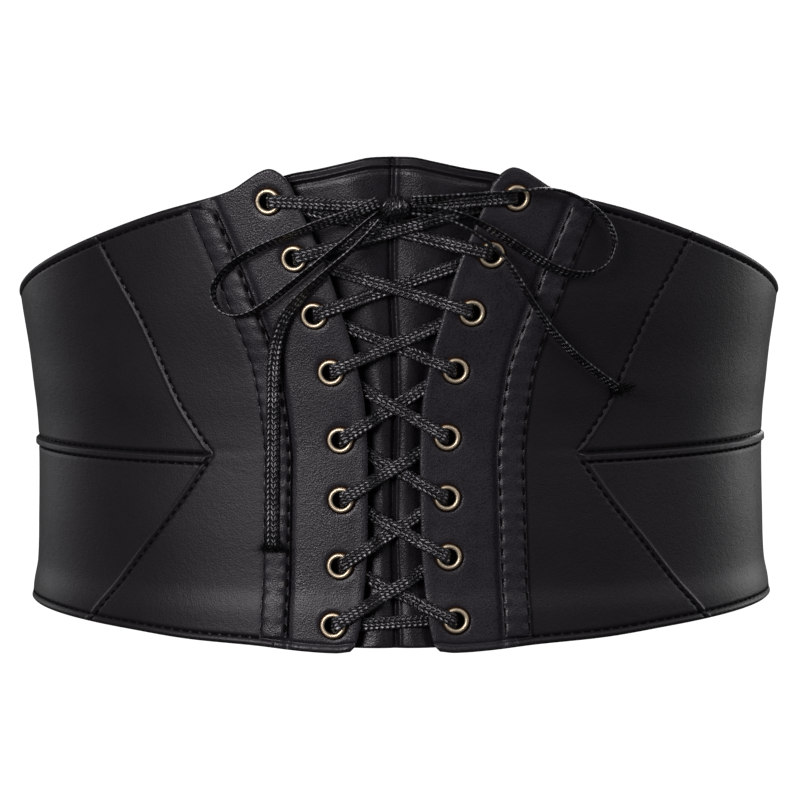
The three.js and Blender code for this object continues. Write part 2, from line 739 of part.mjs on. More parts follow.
// How the lace turns over an eyelet's rim in front and under it behind: away from the eyelet's
// middle in bore radii, dip towards the bore in thicknesses, and how far its width lies flat
const FRONT_TURN = [
  { away: 0.17, dip: 0.4, flatness: 0.4 },
  { away: 0.6, dip: 0, flatness: 0.8 },
];
const BACK_TURN = [
  { away: 0.53, dip: 0, flatness: 0.6 },
  { away: 0.15, dip: 0.4, flatness: 0.2 },
];
const FLANGE_REACH = EYELET_FLANGE_RADIUS + CLEARANCE;

// How far the lace runs on past a placket's edge before it dips, the longest flat stretch of a
// crossing as a share of the way between those points, and the steps in which they are sought
const EDGE_MARGIN = LACE_WIDTH / 3;
const FLAT_SHARE = 0.66;
const SEARCH_STEPS = 200;

// One leg: out of the eyelet at start, over its placket's edge, across the tongue and behind the
// other placket to the eyelet at end.
function legStations(start, end, crossLift) {
  const run = end.arc - start.arc;
  const rise = end.height - start.height;
  const length = Math.hypot(run, rise);
  const slope = rise / Math.abs(run);
  const acrossArc = (-rise * Math.sign(run)) / length;
  const acrossUp = Math.abs(run) / length;
  const at = (share, lift, flatness = 1) => layStation(
    start.arc + run * share,
    start.height + rise * share,
    lift,
    acrossArc * flatness,
    acrossUp,
  );
  const edgeGap = (share) => {
    const height = start.height + rise * share;
    const level = height > 0 ? height / topHem(0) : -height / bottomHem(0);
    return Math.abs(start.arc + run * share) - placketEdge(level);
  };
  const steps = evenSteps(SEARCH_STEPS);
  const leave = steps.find((share) => edgeGap(share) < 0) + EDGE_MARGIN / length;
  const enter = 1 - steps.find((share) => edgeGap(1 - share) < 0) - EDGE_MARGIN / length;
  const middle = Math.abs(start.arc / run);
  const overlap = LACE_WIDTH / (2 * Math.sin(Math.atan(Math.abs(slope)))) + CLEARANCE;
  const flatHalf = Math.min(overlap / Math.abs(run), (FLAT_SHARE * (enter - leave)) / 2);
  const bore = EYELET_BORE_RADIUS / length;
  return [
    at(0, IN_BORE, 0),
    at(0, OVER_LEATHER, 0),
    ...FRONT_TURN.map(({ away, dip, flatness }) => (
      at(away * bore, OVER_EYELET - dip * LACE_THICKNESS, flatness)
    )),
    at(FLANGE_REACH / length, OVER_EYELET - CLEARANCE),
    at(leave, OVER_LEATHER),
    at(middle - flatHalf, crossLift),
    at(middle + flatHalf, crossLift),
    at(enter, BEHIND_EDGE),
    at(1 - FLANGE_REACH / length, BEHIND_EYELET),
    ...BACK_TURN.map(({ away, dip, flatness }) => (
      at(1 - away * bore, BEHIND_EYELET + dip * LACE_THICKNESS, flatness)
    )),
    at(1, IN_BORE - WALL / 2, 0),
  ];
}

// One strand from its bottom eyelet up to the knot, changing sides at each eyelet.
function strandStations(firstSide, crossLift) {
  const otherSide = firstSide === 'left' ? 'right' : 'left';
  const stations = [];
  for (let index = EYELETS.length - 1; index > 0; index -= 1) {
    const onFirst = (EYELETS.length - 1 - index) % 2 === 0;
    const start = eyeletAt(onFirst ? firstSide : otherSide, index);
    const end = eyeletAt(onFirst ? otherSide : firstSide, index - 1);
    stations.push(...legStations(start, end, crossLift));
  }
  const top = eyeletAt(otherSide, 0);
  const knotSide = {
    arc: KNOT_ARC + Math.sign(top.arc) * (KNOT_WIDTH / 2 + CLEARANCE),
    height: KNOT_RISE,
  };
  const run = knotSide.arc - top.arc;
  const length = Math.abs(run);
  const at = (share, lift) => layStation(
    top.arc + run * share,
    lerp(top.height, knotSide.height, share),
    lift,
    0,
    1,
  );
  stations.push(
    at(0, IN_BORE),
    at(0, OVER_LEATHER),
    ...FRONT_TURN.map(({ away, dip }) => (
      at((away * EYELET_BORE_RADIUS) / length, OVER_EYELET - dip * LACE_THICKNESS)
    )),
    at(FLANGE_REACH / length, OVER_EYELET - CLEARANCE),
    at(EYELET_INSET / length, OVER_LEATHER),
    at(1, KNOT_LIFT - KNOT_ENTRY_SHARE * KNOT_DEPTH),
  );
  return stations;
}

// The lace is one piece: down one strand, across between the bottom eyelets and up the other.
function lacingStations() {
  const down = strandStations('left', CROSS_OVER_LIFT).reverse();
  const up = strandStations('right', CROSS_UNDER_LIFT);
  const left = eyeletAt('left', EYELETS.length - 1);
  const right = eyeletAt('right', EYELETS.length - 1);
  const middle = (left.arc + right.arc) / 2;
  const halfBar = ({ arc, height }) => {
    const at = (away, lift) => layStation(arc + Math.sign(middle - arc) * away, height, lift, 0, 1);
    return [
      at(EYELET_INSET, BEHIND_EDGE),
      at(FLANGE_REACH, BEHIND_EYELET),
      ...BACK_TURN.map(({ away, dip }) => (
        at(away * EYELET_BORE_RADIUS, BEHIND_EYELET + dip * LACE_THICKNESS)
      )),
    ];
  };
  const centre = layStation(middle, (left.height + right.height) / 2, BEHIND_EDGE, 0, 1);
  return [...down, ...halfBar(left).reverse(), centre, ...halfBar(right), ...up];
}

// The free lace of the bow, along its route
function routeStations(route) {
  return route.map(({ arc, height, lift, lean }, i) => {
    const before = route[Math.max(i - 1, 0)];
    const after = route[Math.min(i + 1, route.length - 1)];
    const { point, out, along } = frameAt(arc, height, lift);
    const rightHand = along
      .multiplyScalar(after.height - before.height)
      .addScaledVector(UP, before.arc - after.arc)
      .normalize();
    const angle = THREE.MathUtils.degToRad(lean);
    const across = out.multiplyScalar(Math.sin(angle)).addScaledVector(rightHand, Math.cos(angle));
    return { point, across };
  });
}

for (const [sideName, side] of Object.entries(SIDES)) {
  addPiece(`placket_${sideName}`, placketGeometry(sideName), 'pebbled');
  addPiece(`bone_casing_${sideName}`, casingGeometry(side), 'pebbled');
  addPiece(`front_panel_${sideName}`, frontPanelGeometry(side), 'leather');
  addPiece(`upper_side_panel_${sideName}`, upperSideGeometry(side), 'leather');
  addPiece(`lower_side_panel_${sideName}`, lowerSideGeometry(side), 'leather');
  EYELETS.forEach((_, index) => {
    const { arc, height } = eyeletAt(sideName, index);
    const { point } = frameAt(arc, height, 0);
    const eyelet = addPiece(`eyelet_${sideName}_${index + 1}`, eyeletGeometry(), 'brass');
    eyelet.position.copy(point);
    eyelet.quaternion.copy(eyeletTurn(arc, height));
  });
}
addPiece('tongue', tongueGeometry(), 'pebbled');
addPiece('back_panel', backGeometry(), 'elastic');
addPiece('lacing', laceGeometry(lacingStations(), 6), 'lace');
addPiece('bow_loop_left', laceGeometry(routeStations(ROUTE_LOOP_LEFT), 8), 'lace');
addPiece('bow_loop_right', laceGeometry(routeStations(ROUTE_LOOP_RIGHT), 8), 'lace');
addPiece('lace_tail_left', laceGeometry(routeStations(ROUTE_TAIL_LEFT), 8), 'lace');
addPiece('lace_tail_right', laceGeometry(routeStations(ROUTE_TAIL_RIGHT), 8), 'lace');

const knot = addPiece('bow_knot', new THREE.SphereGeometry(0.5, 12, 8), 'lace');
const knotFrame = frameAt(KNOT_ARC, KNOT_RISE, KNOT_LIFT);
knot.position.copy(knotFrame.point);
knot.quaternion.setFromRotationMatrix(
  new THREE.Matrix4().makeBasis(knotFrame.along, knotFrame.out.clone().negate(), UP),
);
knot.scale.set(KNOT_WIDTH, KNOT_DEPTH, KNOT_HEIGHT);

export default belt;
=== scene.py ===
"""Laced corset belt: smooth and pebbled faux leather, antique brass eyelets and a waxed flat lace.

Metres, +Z up, the front faces -Y, and left and right are those of someone facing the front. A place
on the belt is given by its arc, the length along the inner waist line from the front centre, its
height over the waist seam and its lift, the distance outwards from the inner face of the leather.
"""

import math
from functools import partial

import bpy
import numpy as np
from bpy.props import FloatProperty, FloatVectorProperty, PointerProperty
from bpy.types import Operator, Panel, PropertyGroup
from mathutils import Matrix, Vector


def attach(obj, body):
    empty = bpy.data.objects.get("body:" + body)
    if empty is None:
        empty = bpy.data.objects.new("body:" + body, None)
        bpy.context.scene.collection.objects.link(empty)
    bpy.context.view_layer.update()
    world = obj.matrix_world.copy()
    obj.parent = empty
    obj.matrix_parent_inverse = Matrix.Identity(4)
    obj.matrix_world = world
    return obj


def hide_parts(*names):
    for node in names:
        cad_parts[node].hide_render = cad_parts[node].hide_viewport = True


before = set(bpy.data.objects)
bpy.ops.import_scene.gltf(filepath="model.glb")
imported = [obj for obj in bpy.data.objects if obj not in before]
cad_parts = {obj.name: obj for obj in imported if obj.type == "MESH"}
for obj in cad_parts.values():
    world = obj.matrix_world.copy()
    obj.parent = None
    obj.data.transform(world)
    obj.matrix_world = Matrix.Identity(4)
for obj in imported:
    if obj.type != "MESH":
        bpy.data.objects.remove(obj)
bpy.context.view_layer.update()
MM = 0.001

bl_info = {
    "name": "Laced Corset Belt",
    "version": (1, 0, 0),
    "blender": (4, 5, 0),
    "location": "3D View > Sidebar > Corset Belt",
    "description": "Builds a laced corset belt of faux leather around its packed frame",
    "category": "Object",
}

# Waist opening, and how far the wall leans out over it at the top and bottom hems
WAIST_WIDTH = 241 * MM
WAIST_DEPTH = 181 * MM
TOP_FLARE = 5.2 * MM
HEM_FLARE = 2.7 * MM
DEPTH_FLARE_SHARE = 0.75

# Heights over and under the waist seam
PEAK_RISE = 90.3 * MM
SIDE_RISE = 47.8 * MM
BACK_RISE = 45 * MM
FRONT_DROP = 62.2 * MM
SIDE_DROP = 55 * MM
BACK_DROP = 54.5 * MM
TONGUE_RISE = 93.9 * MM
TONGUE_SHOULDER_RISE = 80 * MM
TONGUE_DROP = 61 * MM

# Arcs of the panel edges
LACING_GAP = 16.1 * MM
TOP_GAP = 59 * MM
HEM_GAP = 27.6 * MM
CASING_ARC = 36.4 * MM
CASING_TOP_ARC = 57.3 * MM
CASING_HEM_ARC = 37.6 * MM
V_POINT_ARC = 58.5 * MM
V_TOP_ARC = 95.3 * MM
V_HEM_ARC = 106.8 * MM
BACK_SEAM_ARC = 222 * MM

# Thicknesses and gaps
WALL = 2 * MM
CLEARANCE = 0.3 * MM
SEAM_GAP = -0.08 * MM
BACK_WALL = 1.6 * MM
SLACK = 0.35 * MM
SEAM_EASE = 0.5 * MM
EDGE_EASE = 0.25 * MM
CASING_WIDTH = 8.8 * MM
CASING_THICKNESS = 1.7 * MM
CASING_SEWN_INSET = 0.7 * MM
FELL_WIDTH = 3 * MM
FELL_THICKNESS = 0.9 * MM
TONGUE_WALL = 1.8 * MM
TONGUE_DEPTH = 2.7 * MM
TONGUE_PUFF = 0.9 * MM
TONGUE_SEAT_GAP = 0.6 * MM
EYELET_INSET = 8.3 * MM
EYELET_DOME = 0.85 * MM
EYELET_CURL = 0.45 * MM
# The skirt is a dark brass ring round the flange, partly tarnish and partly painted shade
EYELET_SKIRT = 0.5 * MM

# Each table holds rows of (place, value), both as shares of the sizes named in its comment.

# Height as a share of the side rise or drop, flare of the top or hem flare
FLARE_ABOVE = [
    (0, 0), (0.05, 0.003), (0.2, 0.08), (0.37, 0.24), (0.61, 0.46), (0.9, 0.85), (1.02, 1), (1.71, 1.73),
    (2.04, 2.08),
]
FLARE_BELOW = [(0, 0), (0.14, 0), (0.45, 0.11), (0.76, 0.26), (0.9, 0.74), (1, 0.89), (1.1, 1)]

# Arc from the placket's front edge to the side, rise from the side rise to the peak
TOP_HEM = [
    (0, 0.9), (0.018, 0.965), (0.04, 1), (0.066, 0.974), (0.091, 0.922), (0.124, 0.852), (0.168, 0.8),
    (0.306, 0.682), (0.476, 0.511), (0.606, 0.376), (0.733, 0.245), (0.835, 0.136), (0.94, 0.03), (1, 0),
]
BOTTOM_HEM = [
    (0, 0.93), (0.03, 1), (0.1, 0.93), (0.2, 0.74), (0.35, 0.6), (0.5, 0.37), (0.75, 0.13), (1, 0),
]

# Level between the waist and a hem, half gap from the waist's to the top's or the hem's
EDGE_ABOVE = [
    (0, 0), (0.2, 0.042), (0.3, 0.113), (0.4, 0.2), (0.5, 0.31), (0.6, 0.415), (0.7, 0.54), (0.8, 0.695),
    (0.9, 0.855), (1, 1),
]
EDGE_BELOW = [
    (0, 0), (0.3, 0.03), (0.5, 0.08), (0.7, 0.25), (0.85, 0.42), (0.93, 0.58), (0.975, 0.76), (1, 1),
]
CASING_ABOVE = [
    (0, 0), (0.15, 0.05), (0.3, 0.13), (0.4, 0.235), (0.5, 0.36), (0.7, 0.6), (0.9, 0.865), (1, 1),
]
V_ABOVE = [(0, 0), (0.166, 0.25), (0.337, 0.416), (0.59, 0.617), (0.8, 0.82), (1, 1)]
V_BELOW = [(0, 0), (0.244, 0.213), (0.522, 0.495), (0.785, 0.764), (1, 1)]

# Arc from the tongue's middle to its side, fall from its top to its shoulder
TONGUE_TOP = [(0, 0), (0.124, 0.02), (0.228, 0.11), (0.41, 0.27), (0.57, 0.38), (0.76, 0.62), (1, 1)]

# Arc from the tongue's middle to the placket edge, swelling as a share of the puff
TONGUE_SHAPE = [(0, 0), (0.2, 0.75), (0.5, 1), (0.85, 0.45), (1, 0)]

# Heights of each side's eyelets from the top down, as shares of the peak rise or, where negative,
# of the front drop
EYELET_ROWS = 8
EYELETS = {
    "left": (0.889, 0.692, 0.495, 0.296, 0.058, -0.22, -0.555, -0.857),
    "right": (0.897, 0.702, 0.502, 0.3, 0.066, -0.212, -0.511, -0.834),
}

# Routes of the free lace from the knot, in millimetres: arc, height, lift, and the lean of the
# lace's width, which is 0 in the belt's surface and 90 standing off it
LOOP_LEFT = [
    (-3.6, 79.9, 5.4, 25), (-11.5, 76.2, 5.6, 35), (-19.9, 73.2, 5.8, 45), (-28.5, 69.9, 6, 60),
    (-36.8, 66.2, 6.2, 62), (-44.6, 61.8, 6.5, 66), (-49.4, 57.9, 6.7, 76), (-52.3, 53.4, 6.8, 85),
    (-52.2, 48.6, 6.8, 92), (-49.3, 45.2, 6.8, 98), (-44.9, 44.4, 6.7, 104), (-40.4, 46, 6.5, 108),
    (-36, 48.9, 6.2, 110), (-31.4, 52.6, 6, 110), (-26.3, 56.9, 5.8, 108), (-19.4, 62.8, 5.7, 104),
    (-12.6, 68.8, 5.6, 100), (-7.6, 73.4, 6, 100), (-3.4, 77, 6.4, 100),
]
TAIL_LEFT = [
    (-3, 74.6, 5.4, 78), (-6.2, 70.7, 5.3, 78), (-10.8, 65.6, 5.3, 75), (-16, 60.8, 5.2, 70),
    (-21.2, 55.8, 5.1, 62), (-26.2, 50.9, 5.1, 54), (-30, 46.4, 5.2, 42), (-32.9, 41.4, 5.3, 28),
    (-35, 34.5, 5.3, 14), (-36.1, 26, 5.2, 4), (-36.7, 16, 5.1, 0), (-37.3, 2, 5.1, 0),
    (-37.5, -13.7, 5.1, 0), (-37.5, -28, 5.1, 0),
]
LOOP_RIGHT = [
    (6, 80.2, 5.7, 140), (12.4, 80.9, 6.4, 120), (20.6, 81.8, 7, 105), (28.6, 82.5, 7.2, 96),
    (36.2, 83.1, 7.2, 93), (43.4, 83.6, 7.1, 92), (49.9, 82.2, 7, 91), (55.8, 78.9, 7, 90),
    (60.6, 74.9, 6.8, 88), (64, 70.3, 6.2, 84), (65.2, 65.7, 6, 78), (63.3, 60.2, 6.2, 72),
    (58.4, 57, 6.6, 64), (51.6, 57.1, 6.8, 56), (44.8, 59.8, 6.8, 52), (38.4, 63.9, 6.8, 52),
    (31.8, 68.6, 6.8, 56), (25.2, 73, 6.6, 66), (18.6, 76.4, 6.2, 78), (12.4, 78.2, 6.2, 84),
    (5.9, 78.4, 6.4, 88),
]
TAIL_RIGHT = [
    (5.6, 76.4, 6.3, 90), (12.6, 75.4, 6.2, 91), (19.9, 72.4, 6.1, 92), (26.3, 67.8, 6.6, 94),
    (31, 63.4, 6.9, 96), (34.4, 58.6, 6.9, 98), (38, 52.6, 6.8, 100), (41.6, 46.8, 6.7, 102),
    (45.6, 41, 6.6, 104), (51, 35, 6, 106), (57.6, 29.2, 5.2, 108), (64, 24.4, 4.9, 110),
    (70.6, 19.8, 4.8, 112),
]

# Each boning casing: its swell, the power its cross-section is rounded by, how deep its edges are
# sewn down, and the size of the crumples at its top
CASING_BULGE = {"left": (0.8 * MM, 0.5, 0.5 * MM, 0), "right": (0.4 * MM, 1.0, 0.2 * MM, 0.6 * MM)}

# The knot's arc, height and lift, half the width, depth and height of its core, and each turn of
# lace round it: its offset to the right, its slant in degrees, half its height and half its depth
KNOT_ARC = 1.2 * MM
KNOT_RISE = 78.4 * MM
KNOT_LIFT = 4.5 * MM
KNOT_CORE = (3.1 * MM, 2.3 * MM, 2.4 * MM)
KNOT_TURNS = {
    "left": (-1.9 * MM, 38, 2.7 * MM, 2.3 * MM),
    "right": (2 * MM, -34, 2.7 * MM, 2.4 * MM),
    "over": (0.1 * MM, -14, 3.2 * MM, 3 * MM),
}

# The fibres of a frayed lace end
FRAYED_FIBRES = 500
FIBRE_RADIUS = 0.15 * MM
FIBRE_RINGS = 6

# Corners of each round section, and the distance under which two points count as one
LACE_CORNERS = 16
FIBRE_CORNERS = 4
STITCH_CORNERS = 6
SAME_PLACE = 1e-6

# Lengths of a stitch in a hem and in a seam, and the depth of the leathers' grain
LONG_STITCH = 2.8 * MM
SHORT_STITCH = 1.9 * MM
GRAIN_DEPTH = 0.13 * MM

# The camera: its degrees to the right, upwards and of roll, its distance and the height it looks at
# in metres, its lens in millimetres and its sideways shift as a share of the picture
CAMERA_ANGLES = (1.2, 4.5, 0.4)
CAMERA_DISTANCE = 1.2
CAMERA_AIM = 10.5 * MM
CAMERA_LENS = 159.2
CAMERA_SHIFT = 0.0006

# The height that the soft lights face, and for each one where it stands, in metres, and the width
# of its square
LIGHT_AIM = 10 * MM
LIGHTS = {
    "key": ((-0.68, -1.25, 0.4), 0.55),
    "fill": ((0.8, -1.2, 0.65), 0.5),
    "right_fill": ((1.35, -0.35, 0.5), 0.9),
    "top": ((-0.25, -0.5, 1.5), 0.8),
    "left_side": ((-1.25, 0.8, 0.2), 0.7),
    "right_side": ((1.25, 0.8, 0.2), 0.7),
    "back": ((0.25, 1.3, 0.55), 0.8),
}

SIDES = {"left": -1, "right": 1}
UP = np.array((0.0, 0.0, 1.0))


def linear_from_hex(colour):
    """The linear red, green and blue of an sRGB hex colour such as #1b1a1d."""
    channels = np.array([int(colour[i : i + 2], 16) for i in (1, 3, 5)]) / 255
    linear = np.where(channels <= 0.04045, channels / 12.92, ((channels + 0.055) / 1.055) ** 2.4)
    return tuple(float(x) for x in linear)


def length_setting(name, default, description):
    """A length that the sidebar shows."""
    return FloatProperty(name=name, description=description, unit="LENGTH", default=default)


def power_setting(name, default, description):
    """A light's power that the sidebar shows."""
    return FloatProperty(name=name, description=description, subtype="POWER", default=default)


def colour_setting(name, code, description):
    """A colour that the sidebar shows, from its sRGB hex value."""
    default = linear_from_hex(code)
    return FloatVectorProperty(
        name=name, description=description, subtype="COLOR", size=3, min=0, max=1, default=default
    )


class CorsetBeltLeather(PropertyGroup):
    """Colours and grain of the leather panels and the elastic."""

    smooth_colour: colour_setting("Smooth Leather", "#151217", "Colour of the front and side panels")
    pebbled_colour: colour_setting("Pebbled Leather", "#242127", "Colour of the plackets, casings and tongue")
    shine_colour: colour_setting("Leather Shine", "#fff8fe", "Tint of the light the leathers reflect")
    elastic_colour: colour_setting("Elastic", "#131214", "Colour of the back panel's elastic")
    lining_colour: colour_setting("Lining", "#201f22", "Colour of the knitted lining inside")
    grain: length_setting("Pebble Size", 0.5 * MM, "Width of one pebble of the grain")
    mesh_step: length_setting("Mesh Step", 0.7 * MM, "Distance between the rows of a panel's mesh")


class CorsetBeltStitching(PropertyGroup):
    """The sewn lines."""

    hem_inset: length_setting("Hem Inset", 2.7 * MM, "Distance of the stitching from a hem's edge")
    hem_pitch: length_setting("Hem Pitch", 3.4 * MM, "Distance from one stitch of a hem to the next")
    casing_pitch: length_setting("Casing Pitch", 4.6 * MM, "Distance between stitches beside the boning")
    seam_pitch: length_setting("Seam Pitch", 3.2 * MM, "Distance between the stitches of a V seam")
    thread_width: length_setting("Thread Width", 0.6 * MM, "Thickness of the sewing thread")
    groove_depth: length_setting("Groove Depth", 0.5 * MM, "How deep the thread pulls the leather in")
    # Deep black: partly the thread's own colour, partly painted shade of its needle holes
    thread_colour: colour_setting("Thread", "#050506", "Colour of the sewing thread")


class CorsetBeltEyelets(PropertyGroup):
    """The brass eyelets."""

    bore_radius: length_setting("Bore Radius", 2.65 * MM, "Inner radius of an eyelet")
    barrel_radius: length_setting("Barrel Radius", 3 * MM, "Outer radius of the barrel in the leather")
    flange_radius: length_setting("Flange Radius", 4 * MM, "Outer radius of the ring in front")
    curl_radius: length_setting("Curl Radius", 3.7 * MM, "Outer radius of the curl behind")
    brass_colour: colour_setting("Brass", "#e6d3bb", "Colour of the worn, bright brass")
    # The tarnish colour also paints shade on the ring's edges and on the skirt round the flange
    tarnish_colour: colour_setting("Tarnish", "#452a16", "Colour of the brass in its recesses")


class CorsetBeltLace(PropertyGroup):
    """The flat waxed lace."""

    width: length_setting("Width", 4.2 * MM, "Width of the flat lace")
    thickness: length_setting("Thickness", 1 * MM, "Thickness of the flat lace")
    braid_pitch: length_setting("Braid Pitch", 1.7 * MM, "Length of one crossing of the braid")
    braid_rows: FloatProperty(name="Braid Rows", description="Rows of strands over one face", default=4)
    strand_colour: colour_setting("Strand", "#0c0b0d", "Colour of the waxed strands")
    # The glint colour is a painted highlight, put on the crests of the strands and on flecks of the fibres
    glint_colour: colour_setting("Glint", "#c2bfc9", "Colour of the wax on the crest of a strand")
    mesh_step: length_setting("Mesh Step", 0.6 * MM, "Distance between the rings of the lace's mesh")


class CorsetBeltStudio(PropertyGroup):
    """The soft lights round the belt and the even light of the room."""

    key_power: power_setting("Key Light", 14.5, "Power of the soft light at the front left")
    fill_power: power_setting("Fill Light", 2.2, "Power of the soft light at the front right")
    top_power: power_setting("Top Light", 2.2, "Power of the soft light overhead")
    left_side_power: power_setting("Left Side Light", 2.2, "Power of the light that grazes the left side")
    right_side_power: power_setting("Right Side Light", 4.8, "Power of the light that grazes the right")
    right_fill_power: power_setting("Right Fill Light", 2.4, "Power of the light that fills the right")
    back_power: power_setting("Back Light", 9, "Power of the soft light that shows the elastic back")
    room_light: FloatProperty(name="Room Light", description="Strength of the even light", default=0.06)


def settings(group):
    """The belt's settings of one group, such as the lace's."""
    return getattr(bpy.context.scene, f"corset_belt_{group}")


def curve_through(rows, places):
    """A smooth curve through a table's rows, read at the places.

    Between two rows it is the cubic whose slope at each row is that of the line from the row before
    to the row after.
    """
    xs, ys = np.array(rows, float).T
    row = np.arange(len(xs))
    before = np.maximum(row - 1, 0)
    after = np.minimum(row + 1, len(xs) - 1)
    slopes = (ys[after] - ys[before]) / (xs[after] - xs[before])
    i = np.clip(np.searchsorted(xs, places) - 1, 0, len(xs) - 2)
    width = xs[i + 1] - xs[i]
    u = np.clip((places - xs[i]) / width, 0, 1)
    start = ys[i] * (1 + 2 * u) * (1 - u) ** 2 + slopes[i] * width * u * (1 - u) ** 2
    end = ys[i + 1] * u * u * (3 - 2 * u) - slopes[i + 1] * width * u * u * (1 - u)
    return start + end


# The waist line is an ellipse. Its arcs are summed in small steps round one whole turn.
TURN_STEPS = 1440
turn_angles = 2 * np.pi * np.arange(TURN_STEPS + 1) / TURN_STEPS
step_angles = (turn_angles[1:] + turn_angles[:-1]) / 2
step_lengths = np.hypot(WAIST_WIDTH / 2 * np.cos(step_angles), WAIST_DEPTH / 2 * np.sin(step_angles))
turn_arcs = np.concatenate([[0], np.cumsum(step_lengths * 2 * np.pi / TURN_STEPS)])
HALF_GIRTH = turn_arcs[TURN_STEPS // 2]
QUARTER_GIRTH = HALF_GIRTH / 2


def blend(start, end, share):
    """The value that lies that share of the way from start to end."""
    return start + (end - start) * share


def unit(vectors):
    """The vectors at length 1."""
    return vectors / np.linalg.norm(vectors, axis=-1, keepdims=True)


def lengths_along(points):
    """Length of a broken line from its start to each of its points."""
    return np.concatenate([[0], np.cumsum(np.linalg.norm(np.diff(points, axis=0), axis=1))])


def read_along(lengths, values, places):
    """Values at places along a line, in straight steps between those known at its lengths."""
    return np.stack([np.interp(places, lengths, column) for column in values.T], -1)


def ring_angles(corners):
    """The angles of a ring's corners: one turn in even steps."""
    return 2 * np.pi * np.arange(corners) / corners


def smooth_step(place, start, end):
    """0 before start, 1 after end, and the cubic 3u^2 - 2u^3 in between."""
    u = np.clip((place - start) / (end - start), 0, 1)
    return u * u * (3 - 2 * u)


def flare_at(height):
    """How far the wall leans out at a height."""
    above = TOP_FLARE * curve_through(FLARE_ABOVE, height / SIDE_RISE)
    below = HEM_FLARE * curve_through(FLARE_BELOW, -height / SIDE_DROP)
    return np.where(height > 0, above, below)


def place_at(arc, height, lift):
    """The points at places on the belt, with the directions outwards and along the arc there.

    The wall is an ellipse at each height, its two half axes widened by the flare, and the lift moves
    a point along the ellipse's own outward direction.
    """
    arc, height, lift = np.broadcast_arrays(*(np.asarray(x, float) for x in (arc, height, lift)))
    angle = np.sign(arc) * np.interp(np.abs(arc), turn_arcs, turn_angles)
    flare = flare_at(height)
    a = WAIST_WIDTH / 2 + flare
    b = WAIST_DEPTH / 2 + flare * DEPTH_FLARE_SHARE
    out = unit(np.stack([np.sin(angle) / a, -np.cos(angle) / b, np.zeros_like(a)], -1))
    along = np.cross(UP, out)
    point = np.stack([a * np.sin(angle), -b * np.cos(angle), height], -1)
    return point + out * lift[..., None], out, along


def hem_height(arc, gap, table, at_side, at_front, at_back):
    """Height of a hem at an arc: its table from the front to the side, then one step to the back."""
    length = HALF_GIRTH - np.abs(HALF_GIRTH - np.abs(arc))
    share = (length - gap / 2) / (QUARTER_GIRTH - gap / 2)
    front = blend(at_side, at_front, curve_through(table, np.maximum(share, 0)))
    back = blend(at_side, at_back, smooth_step(length, QUARTER_GIRTH, HALF_GIRTH))
    return np.where(length > QUARTER_GIRTH, back, front)


def top_hem(arc):
    """Height of the top hem at an arc."""
    return hem_height(arc, TOP_GAP, TOP_HEM, SIDE_RISE, PEAK_RISE, BACK_RISE)


def bottom_hem(arc):
    """Height of the bottom hem at an arc, which is negative."""
    return -hem_height(arc, HEM_GAP, BOTTOM_HEM, SIDE_DROP, FRONT_DROP, BACK_DROP)


def height_at(arc, level):
    """Height of a level, which runs from -1 at the bottom hem through 0 at the waist to 1 at the top."""
    return np.where(level > 0, level * top_hem(arc), -level * bottom_hem(arc))


def placket_edge(level):
    """Arc of a placket's front edge."""
    above = blend(LACING_GAP, TOP_GAP, curve_through(EDGE_ABOVE, level)) / 2
    below = blend(LACING_GAP, HEM_GAP, curve_through(EDGE_BELOW, -level)) / 2
    return np.where(level > 0, above, below)


def casing_line(level):
    """Arc of the middle of a boning casing."""
    above = blend(CASING_ARC, CASING_TOP_ARC, curve_through(CASING_ABOVE, level))
    below = blend(CASING_ARC, CASING_HEM_ARC, -level)
    return np.where(level > 0, above, below)


def v_seam(level):
    """Arc of the seam that runs in a V from the waist to both hems."""
    above = blend(V_POINT_ARC, V_TOP_ARC, curve_through(V_ABOVE, level))
    below = blend(V_POINT_ARC, V_HEM_ARC, curve_through(V_BELOW, -level))
    return np.where(level > 0, above, below)


def eyelet_place(side_name, index):
    """Arc and height of an eyelet: its height from the table, its arc a fixed inset behind the edge."""
    share = EYELETS[side_name][index]
    height = share * (PEAK_RISE if share > 0 else FRONT_DROP)
    level = height / top_hem(0) if share > 0 else -height / bottom_hem(0)
    return SIDES[side_name] * (float(placket_edge(level)) + EYELET_INSET), height


def graded(length, step):
    """Shares from 0 to 1 along a length, a step apart and closer beside both ends."""
    rim = np.array([0, 0.1, 0.25, 0.45, 0.7, *np.arange(1, 4.2, 0.3)]) * MM
    middle = np.linspace(rim[-1], length - rim[-1], max(3, int(length / step)))
    return np.concatenate([rim[:-1], middle, length - rim[-2::-1]]) / length


def rolled(distance, radius):
    """How far a face falls beside a rounded edge: a quarter circle of that radius."""
    inward = np.clip(1 - distance / radius, 0, 1)
    return radius * (1 - np.sqrt(1 - inward**2))


def ridge(distance, middle, width):
    """A smooth ridge of height 1: the bell exp(-((distance - middle) / width)^2)."""
    return np.exp(-(((distance - middle) / width) ** 2))


def new_object(name, points, faces, maker, uv=None):
    """A smooth mesh object at the origin from points, quads and the UV of each quad's corners."""
    used, faces_used = np.unique(faces, return_inverse=True)
    mesh = bpy.data.meshes.new(name)
    mesh.from_pydata(points.reshape(-1, 3)[used], [], faces_used.reshape(faces.shape))
    if uv is not None:
        layer = mesh.uv_layers.new(name="surface")
        layer.data.foreach_set("uv", uv.astype(np.float32).ravel())
    mesh.polygons.foreach_set("use_smooth", np.ones(len(faces), bool))
    mesh.materials.append(finish(maker))
    mesh.update()
    piece = bpy.data.objects.new(name, mesh)
    bpy.context.scene.collection.objects.link(piece)
    return piece


def belongs(piece, slot, *nodes):
    """Puts a finished piece on the belt: it rides on the root and stands for its CAD nodes."""
    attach(piece, "root")
    if nodes:
        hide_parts(*nodes)
    return piece


